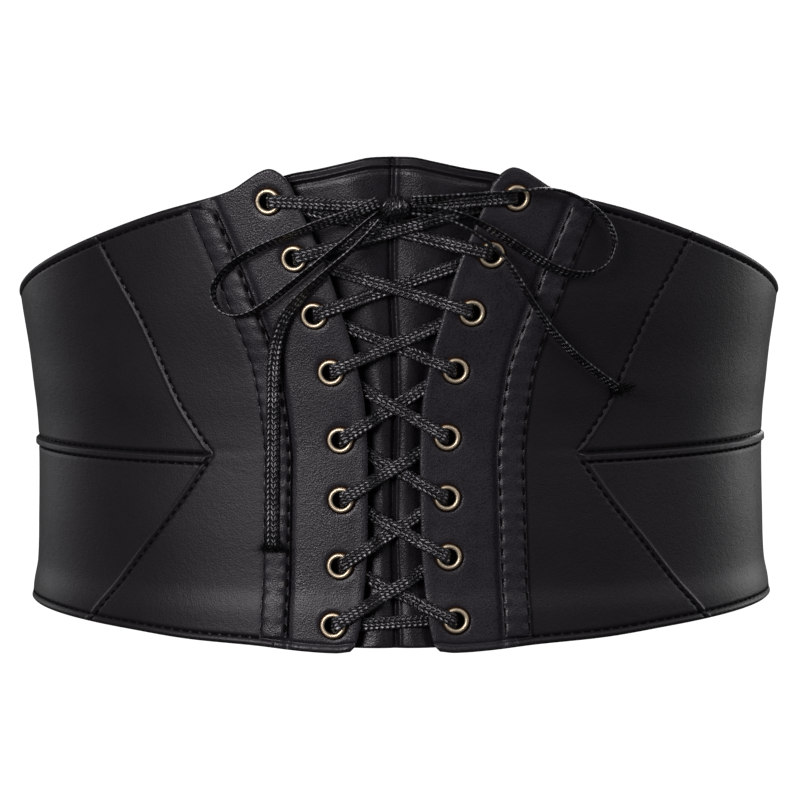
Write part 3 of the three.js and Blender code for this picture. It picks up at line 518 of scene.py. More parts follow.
def grid_faces(rows, columns, wrap_rows=False, wrap_columns=False):
    """The quads of a grid of points, each from one row to the next and one column to the next."""
    row = np.arange(rows if wrap_rows else rows - 1)[:, None]
    column = np.arange(columns if wrap_columns else columns - 1)[None, :]
    below, above = row * columns, (row + 1) % rows * columns
    left, right = column, (column + 1) % columns
    corners = [below + left, below + right, above + right, above + left]
    return np.stack(np.broadcast_arrays(*corners), -1).reshape(-1, 4)


def bead_faces(count, rings, corners):
    """The quads of separate tubes, each a stack of rings."""
    one = grid_faces(rings, corners, wrap_columns=True)
    return (one + np.arange(count)[:, None, None] * rings * corners).reshape(-1, 4)


def grid_uv(row_values, column_values):
    """UV of the corners of a grid's quads, from the values at its rows and columns."""
    v, u = np.meshgrid(row_values, column_values, indexing="ij")
    pairs = np.stack([u, v], -1)
    corners = [pairs[:-1, :-1], pairs[:-1, 1:], pairs[1:, 1:], pairs[1:, :-1]]
    return np.stack(corners, 2).reshape(-1, 4, 2)


def wall_faces(rows, columns, kept):
    """The quads of a closed wall: an outer and an inner grid that share their border points.

    Cells that aren't kept are holes, and a quad joins the two grids along each edge between a kept
    cell and a hole.
    """
    outer = np.arange(rows * columns).reshape(rows, columns)
    inner = outer + rows * columns
    inner[0], inner[-1], inner[:, 0], inner[:, -1] = outer[0], outer[-1], outer[:, 0], outer[:, -1]
    o, n = outer, inner
    front = np.stack([o[:-1, :-1], o[:-1, 1:], o[1:, 1:], o[1:, :-1]], -1)[kept]
    back = np.stack([n[:-1, :-1], n[1:, :-1], n[1:, 1:], n[:-1, 1:]], -1)[kept]
    faces = [front, back]
    for axis in (0, 1):
        ahead = kept.take(range(1, kept.shape[axis]), axis)
        behind = kept.take(range(kept.shape[axis] - 1), axis)
        for rim, turned in ((behind & ~ahead, axis == 0), (ahead & ~behind, axis == 1)):
            i, j = np.nonzero(rim)
            start = (i + 1, j) if axis == 0 else (i, j + 1)
            end = (i + 1, j + 1)
            if not turned:
                start, end = end, start
            faces.append(np.stack([o[start], o[end], n[end], n[start]], -1))
    return np.concatenate(faces)


def add_wall(node, slot, maker, side, arc, height, relief, edges, wall=WALL, base=0, kept=None, lined=True):
    """The panel of a CAD node: a closed wall over a grid of arcs and heights, with rounded edges.

    Each face falls by a quarter circle beside the edges, so that the two meet half way through. The
    relief is added to the outer face, and fades out at the edges. The inner face of a lined panel is
    the knitted lining.
    """
    nearest = np.minimum.reduce(edges)
    fall = rolled(nearest, wall / 2)
    outer = base + wall - fall + relief * smooth_step(nearest, 0, wall / 2)
    if kept is None:
        kept = np.ones((arc.shape[0] - 1, arc.shape[1] - 1), bool)
    grids = [arc, height, outer, base + fall, kept]
    if height[0, 0] > height[-1, 0]:
        grids = [grid[::-1] for grid in grids]
    arc, height, outer, inner, kept = grids
    points = np.stack([place_at(side * arc, height, lift)[0] for lift in (outer, inner)])
    faces = wall_faces(*arc.shape, kept)
    if side < 0:
        faces = faces[:, ::-1]
    uv = np.tile(np.stack([arc.ravel(), height.ravel()], -1), (2, 1))[faces]
    piece = new_object(f"{node}_{slot.split('_')[-1]}", points, faces, maker, uv)
    if lined:
        piece.data.materials.append(finish(polyester_lining_knitted))
        inside = np.arange(len(faces)) // kept.sum() == 1
        piece.data.polygons.foreach_set("material_index", inside.astype(np.int32))
    return belongs(piece, slot, node)


def seam_distance(arc, level, seam):
    """How far a place is from a seam, square to it: the arc between them times the seam's cosine."""
    nudge = 0.01
    line = seam(level)
    rise = height_at(seam(level + nudge), level + nudge) - height_at(line, level)
    slope = (seam(level + nudge) - line) / np.maximum(rise, nudge * MM)
    return np.abs(arc - line) / np.sqrt(1 + slope**2)


def hem_distances(arc, height):
    """How far a place is under the top hem and over the bottom hem, square to each."""
    nudge = 1 * MM
    slopes = [(hem(arc + nudge) - hem(arc)) / nudge for hem in (top_hem, bottom_hem)]
    below_top = (top_hem(arc) - height) / np.sqrt(1 + slopes[0] ** 2)
    above_bottom = (height - bottom_hem(arc)) / np.sqrt(1 + slopes[1] ** 2)
    return below_top, above_bottom


def hem_relief(distance):
    """A turned hem: it swells between its edge and its stitching, and sinks under the stitches."""
    sewing = settings("stitching")
    swell = 0.3 * MM * ridge(distance, sewing.hem_inset * 0.45, sewing.hem_inset / 3)
    sink = sewing.groove_depth * ridge(distance, sewing.hem_inset, sewing.thread_width * 0.8)
    return swell - sink


def gathers(length, distance, pitch, size):
    """Puckers beside a seam: waves a stitch long that fade out within one pitch of the seam."""
    return size * np.cos(2 * np.pi * length / pitch) * np.exp(-((distance / (pitch * 0.45)) ** 2))


def soft_waves(arc, height, size):
    """Slack in the leather: the sum of three long slow waves that cross each other."""
    waves = np.sin(arc / (31 * MM) + height / (23 * MM) + 0.6)
    waves += 0.7 * np.sin(arc / (17 * MM) - height / (29 * MM) + 2.1)
    waves += 0.4 * np.sin(arc / (11 * MM) + height / (13 * MM) + 4.2)
    return size * waves / 2.1


def add_node(tree, kind, inputs=(), out=0, **choices):
    """Adds a shader node with its choices and inputs, and gives one of its outputs.

    The inputs are a list in the node's own order, or a dictionary by their names or numbers. Values
    are set and sockets linked.
    """
    node = tree.nodes.new(f"ShaderNode{kind}")
    for key, value in choices.items():
        setattr(node, key, value)
    for key, value in (inputs.items() if isinstance(inputs, dict) else enumerate(inputs)):
        if isinstance(value, bpy.types.NodeSocket):
            tree.links.new(value, node.inputs[key])
        else:
            node.inputs[key].default_value = value
    return node.outputs[out]


def finish(maker):
    """The material that bears its maker's name, made on first use.

    A maker is given add_node for the material's tree. It gives the colour, as a share and the two
    colours that it lies between, the relief, as a height, a strength and a depth, and the shader's
    other inputs. An even colour is one of those inputs.
    """
    name = maker.__name__
    if name not in bpy.data.materials:
        material = bpy.data.materials.new(name)
        material.use_nodes = True
        tree = material.node_tree
        tree.nodes.clear()
        colour, relief, inputs = maker(partial(add_node, tree))
        if colour:
            mix = dict(zip((0, 6, 7), colour))
            inputs["Base Color"] = add_node(tree, "Mix", mix, 2, data_type="RGBA")
        if relief:
            bump = dict(zip(("Height", "Strength", "Distance"), relief))
            inputs["Normal"] = add_node(tree, "Bump", bump)
        shader = add_node(tree, "BsdfPrincipled", inputs)
        output = tree.nodes.new("ShaderNodeOutputMaterial")
        tree.links.new(shader, output.inputs["Surface"])
    return bpy.data.materials[name]


def rgba(colour, share=1):
    """A colour made darker or paler by a share, with full alpha."""
    return (*(x * share for x in colour), 1.0)


def surface_lengths(node):
    """Lengths along and up a piece, from its own UV map."""
    along = node("SeparateXYZ", [node("UVMap", uv_map="surface")])
    return along, along.node.outputs["Y"]


def sine_wave(node, length, pitch):
    """Threads side by side: the wave sin(2 pi length / pitch)."""
    turn = node("Math", [length, 2 * math.pi / pitch], operation="MULTIPLY")
    return node("Math", [turn], operation="SINE")


def faux_leather_calendered(node):
    """Faux leather, polyurethane on cloth, calendered smooth: matte black with a fine close grain."""
    look = settings("leather")
    place = node("TexCoord", out="Object")
    # Patches 22 mm wide in the colour and gloss, pores 0.6 mm apart and creases 2 mm long
    patches = node("TexNoise", {"Vector": place, "Scale": 1 / (22 * MM), "Detail": 3.0})
    pores = node("TexVoronoi", {"Vector": place, "Scale": 1 / (0.6 * MM), "Randomness": 0.9})
    creases = node("TexNoise", {"Vector": place, "Scale": 1 / (2 * MM), "Detail": 5.0})
    relief = node("Math", [pores, -0.6, creases], operation="MULTIPLY_ADD")
    dark, pale = rgba(look.smooth_colour, 0.75), rgba(look.smooth_colour, 1.25)
    return (patches, dark, pale), (relief, 0.5, GRAIN_DEPTH), {
        "Roughness": node("MapRange", [patches, 0, 1, 0.4, 0.52]),
        "IOR": 1.45,
        "Specular Tint": rgba(look.shine_colour),
    }


def faux_leather_pebbled(node):
    """Faux leather, polyurethane on cloth, embossed with a pebble grain: each pebble glints, with a painted
    highlight on its crown and painted shade in the creases round it.
    """
    return pebble_grain(node, shade=1.0, depth=0.6, gloss=(0.34, 0.46))


def faux_leather_rubbed(node):
    """The same leather rubbed flat by the lace: the grain is faint and shinier, and the black is deeper,
    partly its own tone and partly painted shade.
    """
    # Painted shade: the tongue's colour is the pebbled leather's at 0.6, partly its own darker tone and
    # partly shade
    return pebble_grain(node, shade=0.6, depth=0.5, gloss=(0.32, 0.44))


def pebble_grain(node, shade, depth, gloss):
    """Leather with a pebble grain, from its share of the colour, its depth and its roughness."""
    look = settings("leather")
    place = node("TexCoord", out="Object")
    # Round pebbles with creases between them, in patches 9 mm wide that are worn more or less flat
    pebbles = node("TexVoronoi", {"Vector": place, "Scale": 1 / look.grain, "Randomness": 1.0})
    crumple = node("TexNoise", {"Vector": place, "Scale": 1 / (2.4 * MM), "Detail": 4.0})
    patches = node("TexNoise", {"Vector": place, "Scale": 1 / (9 * MM), "Detail": 4.0})
    relief = node("Math", [crumple, 0.7, pebbles], operation="MULTIPLY_ADD")
    # Painted highlight and shade: each pebble's crown is coloured paler and the creases between the pebbles
    # darker
    pale, dark = rgba(look.pebbled_colour, 1.6 * shade), rgba(look.pebbled_colour, 0.3 * shade)
    return (pebbles, pale, dark), (relief, depth, GRAIN_DEPTH), {
        "Roughness": node("MapRange", [patches, 0.35, 0.65, *gloss]),
        "IOR": 1.45,
        "Specular Tint": rgba(look.shine_colour),
    }


def polyester_lining_knitted(node):
    """Polyester lining, warp-knitted: matte black cloth with fine upright ribs."""
    colour = settings("leather").lining_colour
    along, up = surface_lengths(node)
    # Loops 0.9 mm apart both ways, drawn a third coarser than the real knit so that they show
    wales, courses = sine_wave(node, along, 0.9 * MM), sine_wave(node, up, 0.9 * MM)
    loops = node("Math", [courses, 0.5, wales], operation="MULTIPLY_ADD")
    depth = node("MapRange", [loops, -1.5, 1.5])
    # Painted shade and highlight: the knit is coloured darker in the hollows of its loops and paler on their
    # crests
    dark, pale = rgba(colour, 0.5), rgba(colour, 1.5)
    return (depth, dark, pale), (loops, 0.6, 0.1 * MM), {
        "Roughness": 0.85,
        "Sheen Weight": 0.2,
        "Sheen Roughness": 0.4,
    }


def elastic_ribbed(node):
    """Woven elastic, covered rubber in ribs: matte, with soft upright ribs that catch the light."""
    colour = settings("leather").elastic_colour
    along, up = surface_lengths(node)
    # Ribs 1.5 mm apart along the belt, crossed by weft threads 0.5 mm apart
    ribs, wefts = sine_wave(node, along, 1.5 * MM), sine_wave(node, up, 0.5 * MM)
    relief = node("Math", [wefts, 0.3, ribs], operation="MULTIPLY_ADD")
    # Painted highlight and shade: the ribs are coloured paler on their crests and darker between them
    crest = node("MapRange", [ribs, -1, 1])
    dark, pale = rgba(colour, 0.6), rgba(colour, 1.6)
    return (crest, dark, pale), (relief, 0.6, 0.15 * MM), {
        "Roughness": 0.8,
        "Sheen Weight": 0.25,
        "Sheen Roughness": 0.5,
    }


def brass_antiqued(node):
    """Brass, stamped and antiqued: bright worn rims, brown tarnish where fingers don't rub, and the ring's
    edges and the skirt round it dark, partly tarnish and partly painted shade.
    """
    look = settings("eyelets")
    place = node("TexCoord", out="Object")
    worn_and_shaded = node("Attribute", out="Fac", attribute_name="wear")
    # Tarnish in blotches 1.3 mm wide
    blotches = node("TexNoise", {"Vector": place, "Scale": 1 / (1.3 * MM), "Detail": 4.0})
    # Where the wear-and-shade share is low the brass is dark: tarnish, and painted shade at the ring's edges
    # and on the skirt
    share = node("Math", [blotches, 0.35, worn_and_shaded], operation="MULTIPLY_ADD", use_clamp=True)
    clean = node("MapRange", [share, 0.3, 0.9])
    tarnish_and_shade, brass = rgba(look.tarnish_colour), rgba(look.brass_colour)
    return (clean, tarnish_and_shade, brass), (blotches, 0.2, 0.05 * MM), {
        "Metallic": 1.0,
        "Roughness": node("MapRange", [clean, 0, 1, 0.6, 0.5]),
    }


def polyester_braid_waxed(node):
    """Polyester lace, braided flat and waxed: rows of slanting strands, and a painted glint on the crest of
    many.
    """
    return flat_braid(node, 1.0)


def polyester_braid_bare(node):
    """Polyester lace, braided and pulled tight: black rows, with few painted glints."""
    return flat_braid(node, 0.12)


def flat_braid(node, most_glint):
    """A braid with a painted glint on its strands' crests, at most that share of the way to the glint colour.
    """
    look = settings("lace")
    x, y = surface_lengths(node)
    # Rows 1.05 mm wide, the outermost wrapped round the lace's edges. Their strands slant one way
    # in one row and the other way in the next.
    across = node("Math", [x, look.braid_rows / look.width, 0.5], operation="MULTIPLY_ADD")
    along = node("Math", [y, 1 / look.braid_pitch], operation="MULTIPLY")
    zigzag = node("Math", [across, 1.0], operation="PINGPONG")
    slant = node("Math", [zigzag, 0.42, along], operation="MULTIPLY_ADD")
    strand = node("Math", [slant, 0.5], operation="PINGPONG")
    side = node("Math", [across, 0.5], operation="PINGPONG")
    crown = node("Math", [strand, side], operation="MULTIPLY")
    height = node("Math", [crown, 0.6], operation="POWER")
    # Each strand's crest has its own share of painted glint, and in stretches 9 mm long it falls to a tenth
    crest = node("CombineXYZ", [node("Math", [place], operation="FLOOR") for place in (across, slant)])
    painted_glint = node("TexWhiteNoise", {"Vector": crest}, noise_dimensions="2D")
    dull_stretches = node("TexNoise", {"W": y, "Scale": 1 / (9 * MM), "Detail": 1.0}, noise_dimensions="1D")
    glint_left = node("MapRange", [dull_stretches, 0.36, 0.6, 0.1 * most_glint, most_glint])
    # The lace's edges are smoother than its faces, and carry fewer painted glints
    inside = node("Math", [x, look.width / 2], operation="PINGPONG")
    face_share = node("MapRange", [inside, 0.25 * MM, 0.6 * MM, 0.18, 1])
    edge_glint = node("MapRange", [inside, 0.25 * MM, 0.6 * MM, 0.5, 1])
    face_height = node("Math", [height, face_share], operation="MULTIPLY")
    face_glint = node("Math", [glint_left, edge_glint], operation="MULTIPLY")
    glint_share = node("Math", [painted_glint, face_glint], operation="MULTIPLY")
    # Painted highlight: the crest of each strand is coloured towards the glint colour
    peak = node("MapRange", [crown, 0.07, 0.2], interpolation_type="SMOOTHSTEP")
    glint = node("Math", [peak, glint_share], operation="MULTIPLY")
    strand_colour, glint_colour = rgba(look.strand_colour), rgba(look.glint_colour)
    return (glint, strand_colour, glint_colour), (face_height, 1.0, 0.7 * MM), {
        "Roughness": 0.28,
        "IOR": 1.5,
        "Specular Tint": rgba(settings("leather").shine_colour),
    }


def polyester_thread_twisted(node):
    """Polyester thread, twisted: deep black, sunk in its needle holes, with hardly any shine. Its black is
    partly its own colour and partly painted shade of the needle holes and puckers.
    """
    colour = settings("stitching").thread_colour
    place = node("TexCoord", out="Object")
    # Fibres drawn a fifth of a millimetre wide, coarser than real ones so that they show
    fibres = node("TexNoise", {"Vector": place, "Scale": 1 / (0.2 * MM), "Detail": 2.0})
    dark, pale = rgba(colour, 0.5), rgba(colour, 1.6)
    return (fibres, dark, pale), (fibres, 0.5, 0.05 * MM), {
        "Roughness": 0.85,
        "Specular IOR Level": 0.1,
    }


def polyester_fibre_waxed(node):
    """Polyester fibre, cut and untwisted: deep black, with a few flecks of painted glint on it."""
    look = settings("lace")
    place = node("TexCoord", out="Object")
    # Painted glints in flecks half a millimetre long
    flecks = node("TexNoise", {"Vector": place, "Scale": 1 / (0.5 * MM), "Detail": 2.0})
    painted_glint = node("MapRange", [flecks, 0.6, 0.75, 0, 0.15])
    strand, glint = rgba(look.strand_colour, 0.4), rgba(look.glint_colour)
    return (painted_glint, strand, glint), None, {"Roughness": 0.8, "Specular IOR Level": 0.12}


def paper_backdrop(_):
    """Paper, bleached and matte, lit until it shows pure white."""
    return None, None, {
        "Base Color": rgba(linear_from_hex("#f4f4f4")),
        "Roughness": 0.9,
        "Emission Color": rgba(linear_from_hex("#ffffff")),
        "Emission Strength": 1.0,
    }


def lace_section():
    """The lace's section, flat on both faces with rounded edges.

    It is a superellipse: the corner at angle t lies at cos(t) and sin(t), each to the power 0.7, times
    half the width and half the thickness.
    """
    look = settings("lace")
    turn = ring_angles(LACE_CORNERS)
    cosine, sine = np.cos(turn), np.sin(turn)
    across = look.width / 2 * np.sign(cosine) * np.abs(cosine) ** 0.7
    through = look.thickness / 2 * np.sign(sine) * np.abs(sine) ** 0.7
    return across, through


def lace_stations(points, across, softness):
    """Evenly spaced stations along a lace, with its corners softened.

    The broken line through the points is read every step, and each reading is averaged with its
    neighbours under a bell as wide as the softness.
    """
    step = settings("lace").mesh_step
    lengths = lengths_along(points)
    apart = np.concatenate([[True], np.diff(lengths) > SAME_PLACE])
    places = np.linspace(0, lengths[-1], max(8, int(lengths[-1] / step)))
    both = np.concatenate([points, across], 1)[apart]
    read = read_along(lengths[apart], both, places)
    reach = max(1, round(3 * softness / step))
    bell = np.exp(-((np.arange(-reach, reach + 1) * step / softness) ** 2) / 2)
    bell /= bell.sum()
    start = 2 * read[0] - read[reach:0:-1]
    end = 2 * read[-1] - read[-2 : -reach - 2 : -1]
    padded = np.concatenate([start, read, end])
    soft = np.stack([np.convolve(column, bell, "valid") for column in padded.T], -1)
    return soft[:, :3], soft[:, 3:]


def ribbon_object(name, points, across, maker):
    """The flat lace carried along its stations, closed by a point at both ends."""
    tangent = unit(np.gradient(points, axis=0))
    across = unit(across - (across * tangent).sum(1, keepdims=True) * tangent)
    through = np.cross(tangent, across)
    wide, thick = lace_section()
    rings = points[:, None] + across[:, None] * wide[:, None] + through[:, None] * thick[:, None]
    start, end = (np.repeat(line[None], LACE_CORNERS, 1) for line in (points[:1], points[-1:]))
    rings = np.concatenate([start, rings, end])
    faces = grid_faces(len(rings), LACE_CORNERS, wrap_columns=True)
    lengths = np.pad(lengths_along(points), 1, "edge")
    uv = grid_uv(lengths, np.append(wide, wide[0]) + settings("lace").width / 2)
    return new_object(name, rings, faces[:, ::-1], maker, uv[:, ::-1])


def route_stations(route):
    """Points and width directions of the free lace, on one smooth curve along its route."""
    arc, height, lift, lean = np.array(route, float).T
    points, out, along = place_at(arc * MM, height * MM, lift * MM)
    right_hand = unit(along * np.gradient(height)[:, None] - UP * np.gradient(arc)[:, None])
    angle = np.radians(lean)[:, None]
    both = np.concatenate([points, out * np.sin(angle) + right_hand * np.cos(angle)], 1)
    lengths = lengths_along(points)
    places = np.linspace(0, lengths[-1], int(lengths[-1] / settings("lace").mesh_step))
    read = np.stack([curve_through(list(zip(lengths, column)), places) for column in both.T], -1)
    return lace_stations(read[:, :3], read[:, 3:], 1 * MM)


def frayed_end(name, points, across, seed):
    """The lace's cut end: fine fibres that leave it in a tuft.

    Each fibre starts on the lace's section within its last few millimetres, and those at the lace's
    edges start the furthest back. It runs on along a parabola, straight on at first and then bent
    outwards, and narrows to a point.
    """
    look = settings("lace")
    rng = np.random.default_rng(seed)
    tangent = unit(points[-1] - points[-3])
    side = unit(across[-1] - (across[-1] @ tangent) * tangent)
    through = np.cross(tangent, side)
    place = rng.uniform(-1, 1, (FRAYED_FIBRES, 2))
    length = rng.uniform(1.2, 3.2, FRAYED_FIBRES)[:, None] * MM
    bend = place * (1.5, 0.3) + rng.normal(0, (0.6, 0.35), (FRAYED_FIBRES, 2))
    back = (0.6 + 3 * rng.uniform(0, 1, FRAYED_FIBRES) * np.abs(place[:, 0]) ** 3)[:, None] * MM
    share = np.linspace(0, 1, FIBRE_RINGS)
    spread = bend[:, :, None] * (length * share**2)[:, None]
    line = (
        points[-1]
        + tangent * (length * share - back)[..., None]
        + side * (place[:, :1] * look.width * 0.42 + spread[:, 0])[..., None]
        + through * (place[:, 1:] * look.thickness * 0.35 + spread[:, 1])[..., None]
    )
    line = np.concatenate([line[:, :1], line, line[:, -1:]], 1)
    radius = np.pad(FIBRE_RADIUS * (1 - 0.75 * share), 1)
    turn = ring_angles(FIBRE_CORNERS)[:, None]
    rings = line[:, :, None] + (side * np.cos(turn) + through * np.sin(turn)) * radius[:, None, None]
    faces = bead_faces(*rings.shape[:3])
    return belongs(new_object(name, rings, faces[:, ::-1], polyester_fibre_waxed), "lace")


def lace_lifts():
    """Lifts of the lace's middle over the leather, over an eyelet, and behind each of them."""
    half = settings("lace").thickness / 2
    over, behind = WALL + CLEARANCE + half, -CLEARANCE * 1.5 - half
    return over, over + EYELET_DOME + CLEARANCE, behind, behind - EYELET_CURL - CLEARANCE


def lace_leg(start, end, cross_lift):
    """Stations of one crossing: out of the eyelet at start, across, and up into the one at end."""
    look, studs = settings("lace"), settings("eyelets")
    run, rise = end[0] - start[0], end[1] - start[1]
    length = math.hypot(run, rise)
    share = np.linspace(0, 1, 201)
    height = start[1] + rise * share
    level = np.where(height > 0, height / top_hem(0), -height / bottom_hem(0))
    over_gap = np.abs(start[0] + run * share) < placket_edge(level)
    margin = look.width / 3 / length
    leave = share[over_gap][0] + margin
    enter = share[over_gap][-1] - margin
    middle = abs(start[0] / run)
    overlap = look.width / (2 * math.sin(math.atan(abs(rise / run)))) + CLEARANCE
    flat = min(overlap / abs(run), 0.66 * (enter - leave) / 2)
    bore = studs.bore_radius / length
    reach = (studs.flange_radius + CLEARANCE) / length
    over, over_eyelet, behind_edge, behind_eyelet = lace_lifts()
    # Each row: share of the way, lift, and how flat the lace lies on the belt there
    rows = [
        (0, WALL / 4, 0),
        (0, over, 0),
        (0.17 * bore, over_eyelet - 0.4 * look.thickness, 0.4),
        (0.6 * bore, over_eyelet, 0.8),
        (reach, over_eyelet - CLEARANCE, 1),
        (leave, over, 1),
        (middle - flat, cross_lift, 1),
        (middle + flat, cross_lift, 1),
        (enter, behind_edge, 1),
        (1 - reach, behind_eyelet, 1),
        (1 - 0.53 * bore, behind_eyelet, 0.6),
        (1 - 0.15 * bore, behind_eyelet + 0.4 * look.thickness, 0.2),
        (1, -WALL / 4, 0),
    ]
    part, lift, flatness = np.array(rows).T
    point, _, along = place_at(start[0] + run * part, start[1] + rise * part, lift)
    return point, unit(along * (-rise * np.sign(run) * flatness)[:, None] + UP * abs(run))


def lace_strand(first_side, cross_lift):
    """Stations of one strand from its bottom eyelet up to the knot."""
    look, studs = settings("lace"), settings("eyelets")
    sides = [first_side, "right" if first_side == "left" else "left"]
    stops = [eyelet_place(sides[i % 2], EYELET_ROWS - 1 - i) for i in range(EYELET_ROWS)]
    legs = [lace_leg(*ends, cross_lift) for ends in zip(stops, stops[1:])]
    top = stops[-1]
    knot = (KNOT_ARC + math.copysign(4.3 * MM, top[0]), KNOT_RISE)
    run = abs(knot[0] - top[0])
    over, over_eyelet, _, _ = lace_lifts()
    rows = [
        (0, WALL / 4),
        (0, over),
        (0.17 * studs.bore_radius / run, over_eyelet - 0.4 * look.thickness),
        (0.6 * studs.bore_radius / run, over_eyelet),
        ((studs.flange_radius + CLEARANCE) / run, over_eyelet - CLEARANCE),
        (EYELET_INSET / run, over),
        (1, 3.2 * MM),
    ]
    share, lift = np.array(rows).T
    point, _, _ = place_at(blend(top[0], knot[0], share), blend(top[1], knot[1], share), lift)
    legs.append((point, np.tile(UP, (len(rows), 1))))
    return [np.concatenate(part) for part in zip(*legs)]


def bottom_bar():
    """Stations of the lace between the two bottom eyelets, behind both plackets."""
    look, studs = settings("lace"), settings("eyelets")
    left, right = (eyelet_place(side_name, EYELET_ROWS - 1) for side_name in SIDES)
    _, _, behind_edge, behind_eyelet = lace_lifts()
    half = [
        (0.15 * studs.bore_radius, behind_eyelet + 0.4 * look.thickness),
        (0.53 * studs.bore_radius, behind_eyelet),
        (studs.flange_radius + CLEARANCE, behind_eyelet),
        (EYELET_INSET, behind_edge),
    ]
    rows = [(left[0] + away, left[1], lift) for away, lift in half]
    rows.append(((left[0] + right[0]) / 2, (left[1] + right[1]) / 2, behind_edge))
    rows += [(right[0] - away, right[1], lift) for away, lift in reversed(half)]
    point, _, _ = place_at(*np.array(rows).T)
    return point, np.tile(UP, (len(rows), 1))


def stitches(name, lines, pitch, length, width):
    """Stitches along sewn lines, each line a (points, outward directions) pair.

    One stitch is a bead drawn out along its line: the radius of its section follows the square root
    of 1 - s^4 from one end, s = -1, to the other, s = 1.
    """
    s = np.array([-1, -0.9, -0.55, 0, 0.55, 0.9, 1])
    radius = width / 2 * np.sqrt(np.clip(1 - s**4, 0, 1))[:, None]
    turn = ring_angles(STITCH_CORNERS)
    rings = []
    for points, out in lines:
        lengths = lengths_along(points)
        count = max(1, int(lengths[-1] / pitch))
        middles = (np.arange(count) + 0.5) * lengths[-1] / count
        places = np.clip(middles[:, None] + s * length / 2, 0, lengths[-1])
        centre, normal = (read_along(lengths, values, places) for values in (points, out))
        beside = np.cross(unit(centre[:, -1:] - centre[:, :1]), normal)
        rings.append(
            centre[:, :, None]
            + normal[:, :, None] * (np.sin(turn) * radius)[..., None]
            + beside[:, :, None] * (np.cos(turn) * radius)[..., None]
        )
    rings = np.concatenate(rings)
    faces = bead_faces(*rings.shape[:3])
    return belongs(new_object(name, rings, faces, polyester_thread_twisted), "lace")


def sewn_line(side, arc, height, lift, slack=SLACK):
    """A line on the belt for stitches, which follows the leather's slack: points and directions out."""
    point, out, _ = place_at(side * arc, height, lift + soft_waves(arc, height, slack))
    return point, out


def inside_hem(hem, arc, inset):
    """Heights of a line that stays a set distance inside a hem, square to it."""
    height = hem(arc)
    slope = np.gradient(height, arc)
    return height + inset * np.sqrt(1 + slope**2)


def eyelet_profile():
    """Radii, depths and wear-and-shade share of an eyelet's profile, from the back of the bore round to it
    again.

    The front ring is half an ellipse from the bore to the flange, with a thin skirt round it, and
    the curl behind is half an ellipse too.
    """
    studs = settings("eyelets")
    front, back = WALL + CLEARANCE, -CLEARANCE
    sweep, sweep_back = np.linspace(0, np.pi, 17), np.linspace(0, np.pi, 9)
    middle, half = half_way(studs.bore_radius, studs.flange_radius)
    middle_back, half_back = half_way(studs.bore_radius, studs.curl_radius)
    rim = studs.flange_radius + EYELET_SKIRT
    skirt_radius = [rim, rim, studs.barrel_radius, studs.barrel_radius]
    skirt_depth = [front - 0.1 * MM, front - 0.25 * MM, front - 0.2 * MM, back]
    radius = [middle - half * np.cos(sweep), skirt_radius, middle_back + half_back * np.cos(sweep_back)]
    ring_depth = front + EYELET_DOME * np.sin(sweep) ** 0.8
    depth = [ring_depth, skirt_depth, back - EYELET_CURL * np.sin(sweep_back)]
    # The share is 1 on the ring's crest and 0 at its edges and on the skirt, which come out dark: partly
    # tarnish, partly painted shade round the flange
    wear = [np.sin(sweep) ** 0.7, [0, 0, 0, 0], 0.3 * np.sin(sweep_back)]
    return [np.concatenate(parts) for parts in (radius, depth, wear)]


def half_way(inner, outer):
    """The middle between two radii and half the distance between them."""
    return (inner + outer) / 2, (outer - inner) / 2


def add_camera(scene):
    """The photograph's view: 1.2 m away, a little above and to the right, through a long lens."""
    azimuth, elevation, roll = (math.radians(angle) for angle in CAMERA_ANGLES)
    level = math.cos(elevation)
    back = Vector((math.sin(azimuth) * level, -math.cos(azimuth) * level, math.sin(elevation)))
    camera = bpy.data.objects.new("camera", bpy.data.cameras.new("camera"))
    camera.data.sensor_width = 36
    camera.data.lens = CAMERA_LENS
    camera.data.shift_x = CAMERA_SHIFT
    turned = (-back).to_track_quat("-Z", "Y").to_matrix() @ Matrix.Rotation(-roll, 3, "Z")
    place = Vector((0, 0, CAMERA_AIM)) + back * CAMERA_DISTANCE
    camera.matrix_world = Matrix.Translation(place) @ turned.to_4x4()
    scene.collection.objects.link(camera)
    scene.camera = camera


def add_floor():
    """A round white sweep: a wide floor that curves up to a wall all round.

    Its profile is a line out to the bend, a quarter circle and a line up, turned about the belt. It
    is lit until it shows pure white, and only the camera sees it.
    """
    low, reach, bend, top, corners = -0.9, 2.4, 0.8, 6, 48
    sweep = np.linspace(0, np.pi / 2, 13)
    away = np.concatenate([[0], reach + bend * np.sin(sweep), [reach + bend]])[:, None]
    height = np.concatenate([[low], low + bend * (1 - np.cos(sweep)), [top]])[:, None]
    turn = ring_angles(corners)
    rings = [away * np.cos(turn), away * np.sin(turn), height + 0 * turn]
    faces = grid_faces(len(away), corners, wrap_columns=True)
    floor = new_object("paper_floor", np.stack(rings, -1), faces, paper_backdrop)
    floor.visible_diffuse = False
    floor.visible_glossy = False
    floor.visible_shadow = False


def add_soft_light(scene, name, place, size):
    """A square soft box that faces the belt, with the power of its setting."""
    light = bpy.data.objects.new(f"{name}_light", bpy.data.lights.new(f"{name}_light", "AREA"))
    light.data.shape = "SQUARE"
    light.data.size = size
    light.data.energy = getattr(settings("studio"), f"{name}_power")
    towards = Vector((0, 0, LIGHT_AIM)) - Vector(place)
    turned = towards.to_track_quat("-Z", "Y").to_matrix().to_4x4()
    light.matrix_world = Matrix.Translation(place) @ turned
    scene.collection.objects.link(light)


